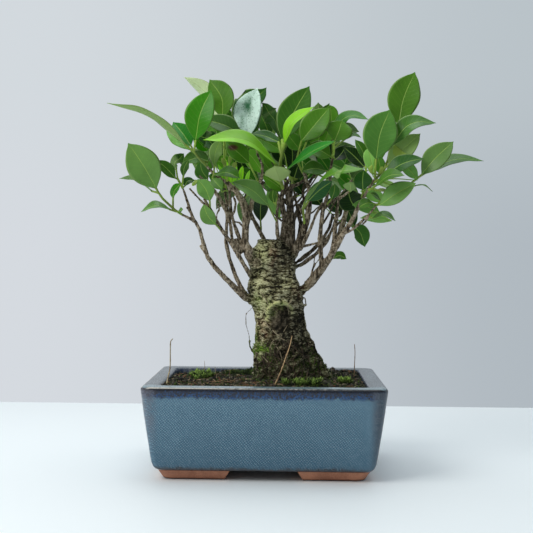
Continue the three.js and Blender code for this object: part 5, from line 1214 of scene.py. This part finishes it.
LEAF_STATIONS = np.append(STATIONS, 1.0)
LEAF_HALVES = np.array([0.07, 0.66, 1.0, 0.88, 0.46, 0.0]) / 2
STALK_ROWS = 14
blades, stalks = [], []
for base, tip, depth, width, word in INNER_LEAVES:
    base, tip = seen(*base, depth), seen(*tip, depth + leaf_chance.uniform(-8, 4))
    t = LEAF_STATIONS[:, None]
    arch = UP * 4 * t * (1 - t) * np.linalg.norm(tip - base) * leaf_chance.uniform(-0.02, 0.16)
    centres = base * (1 - t) + tip * t + arch
    facing = np.array([leaf_chance.uniform(-0.25, 0.25), -0.85, leaf_chance.uniform(0.25, 0.6)])
    aside = np.cross(tip - base, facing)
    aside /= np.linalg.norm(aside)
    sides, ups = (np.tile(direction, (len(LEAF_STATIONS), 1)) for direction in (aside, facing))
    blade = leaf_points(LEAF_STATIONS, centres, width * MM * LEAF_HALVES, sides, ups,
                        leaf_chance.uniform(0.02, 0.07), leaf_chance.random())
    bough = np.array(bark_tree.find_nearest(Vector(base))[0])
    stalk = curve_through([bough, (bough + base) / 2 + UP * 0.8 * MM, base, centres[1]], STALK_ROWS)
    stalks.append((stalk, np.linspace(0.62, 0.3, STALK_ROWS)))
    # Their tones are raised well above those of the shoots' leaves: a painted light that lifts them out of the crown's
    # shade.
    tint = light(*TONES[word]) * leaf_chance.uniform(1.5, 2.1)
    blades.append((*blade, np.tile(tint, (BLADE_POINTS, 1))))
points, faces = join_tubes(stalks, 7, len(blades) * BLADE_POINTS)
wood = points, 0 * points, np.zeros(len(points)), np.tile(light(150, 186, 78), (len(points), 1))
add_foliage("inner_leaves", blades, wood, faces)

# ---- stage: a pale floor under the feet, soft daylight from two large panels above and at the left, and the dim
# grey light of a room from all round.
pale_floor, spot = new_finish("pale_floor")
spot.finish(tone(242, 249, 252), 0.55)
FLOOR_HALF, FLOOR_FRONT, FLOOR_BACK, FLOOR_BOTTOM, FLOOR_TOP = 0.85, 0.62, 0.33, -0.02, -0.0002
low = np.array([POT_MIDDLE[0] - FLOOR_HALF, POT_MIDDLE[1] - FLOOR_FRONT, FLOOR_BOTTOM])
high = np.array([POT_MIDDLE[0] + FLOOR_HALF, POT_MIDDLE[1] + FLOOR_BACK, FLOOR_TOP])
slab = bmesh.new()
place = Matrix.Translation((low + high) / 2) @ Matrix.Diagonal((*(high - low), 1.0))
bmesh.ops.create_cube(slab, size=1.0, matrix=place)
floor = add_object("floor", bpy.data.meshes.new("floor"))
slab.to_mesh(floor.data)
slab.free()
floor.data.materials.append(pale_floor)


def add_panel(name, place, aim, width, height, power, colour):
    """A soft light panel at a place, turned towards its aim."""
    panel = bpy.data.lights.new(name, "AREA")
    panel.shape, panel.size, panel.size_y, panel.energy, panel.color = "RECTANGLE", width, height, power, colour
    lamp = add_object(name, panel)
    lamp.location = place
    lamp.rotation_euler = (Vector(aim) - Vector(place)).to_track_quat("-Z", "Y").to_euler()


crown = POT_MIDDLE + [0.01, 0, 0.2]
add_panel("window_light", crown + [-0.8, -0.55, 0.75], crown, 0.7, 0.7, 8.0, (1.0, 0.985, 0.96))
add_panel("overhead_light", crown + [0.1, 0.15, 1.1], crown, 1.0, 0.8, 6.0, (0.95, 0.98, 1.0))
world = bpy.data.worlds.new("room")
bpy.context.scene.world = world
world.use_nodes = True
world.node_tree.nodes.clear()
direction = Signal(world.node_tree).node("TexCoord", output="Generated")
side, depth, height = direction.parts()
behind = side.ramp(-0.3, 0.3).mix(tone(212, 217, 223), tone(174, 183, 190))
behind = (height.ramp(0.0, 0.2) * 0.3).mix(behind, tone(204, 214, 217))
in_front = side.ramp(-0.5, 0.6).mix(tone(176, 178, 176), tone(112, 116, 122))
room = depth.ramp(0.35, -0.15).mix(behind, in_front)
background = direction.node("Background", None, {"Color": room, "Strength": 1.0})
world.node_tree.links.new(background.socket, world.node_tree.nodes.new("ShaderNodeOutputWorld").inputs["Surface"])
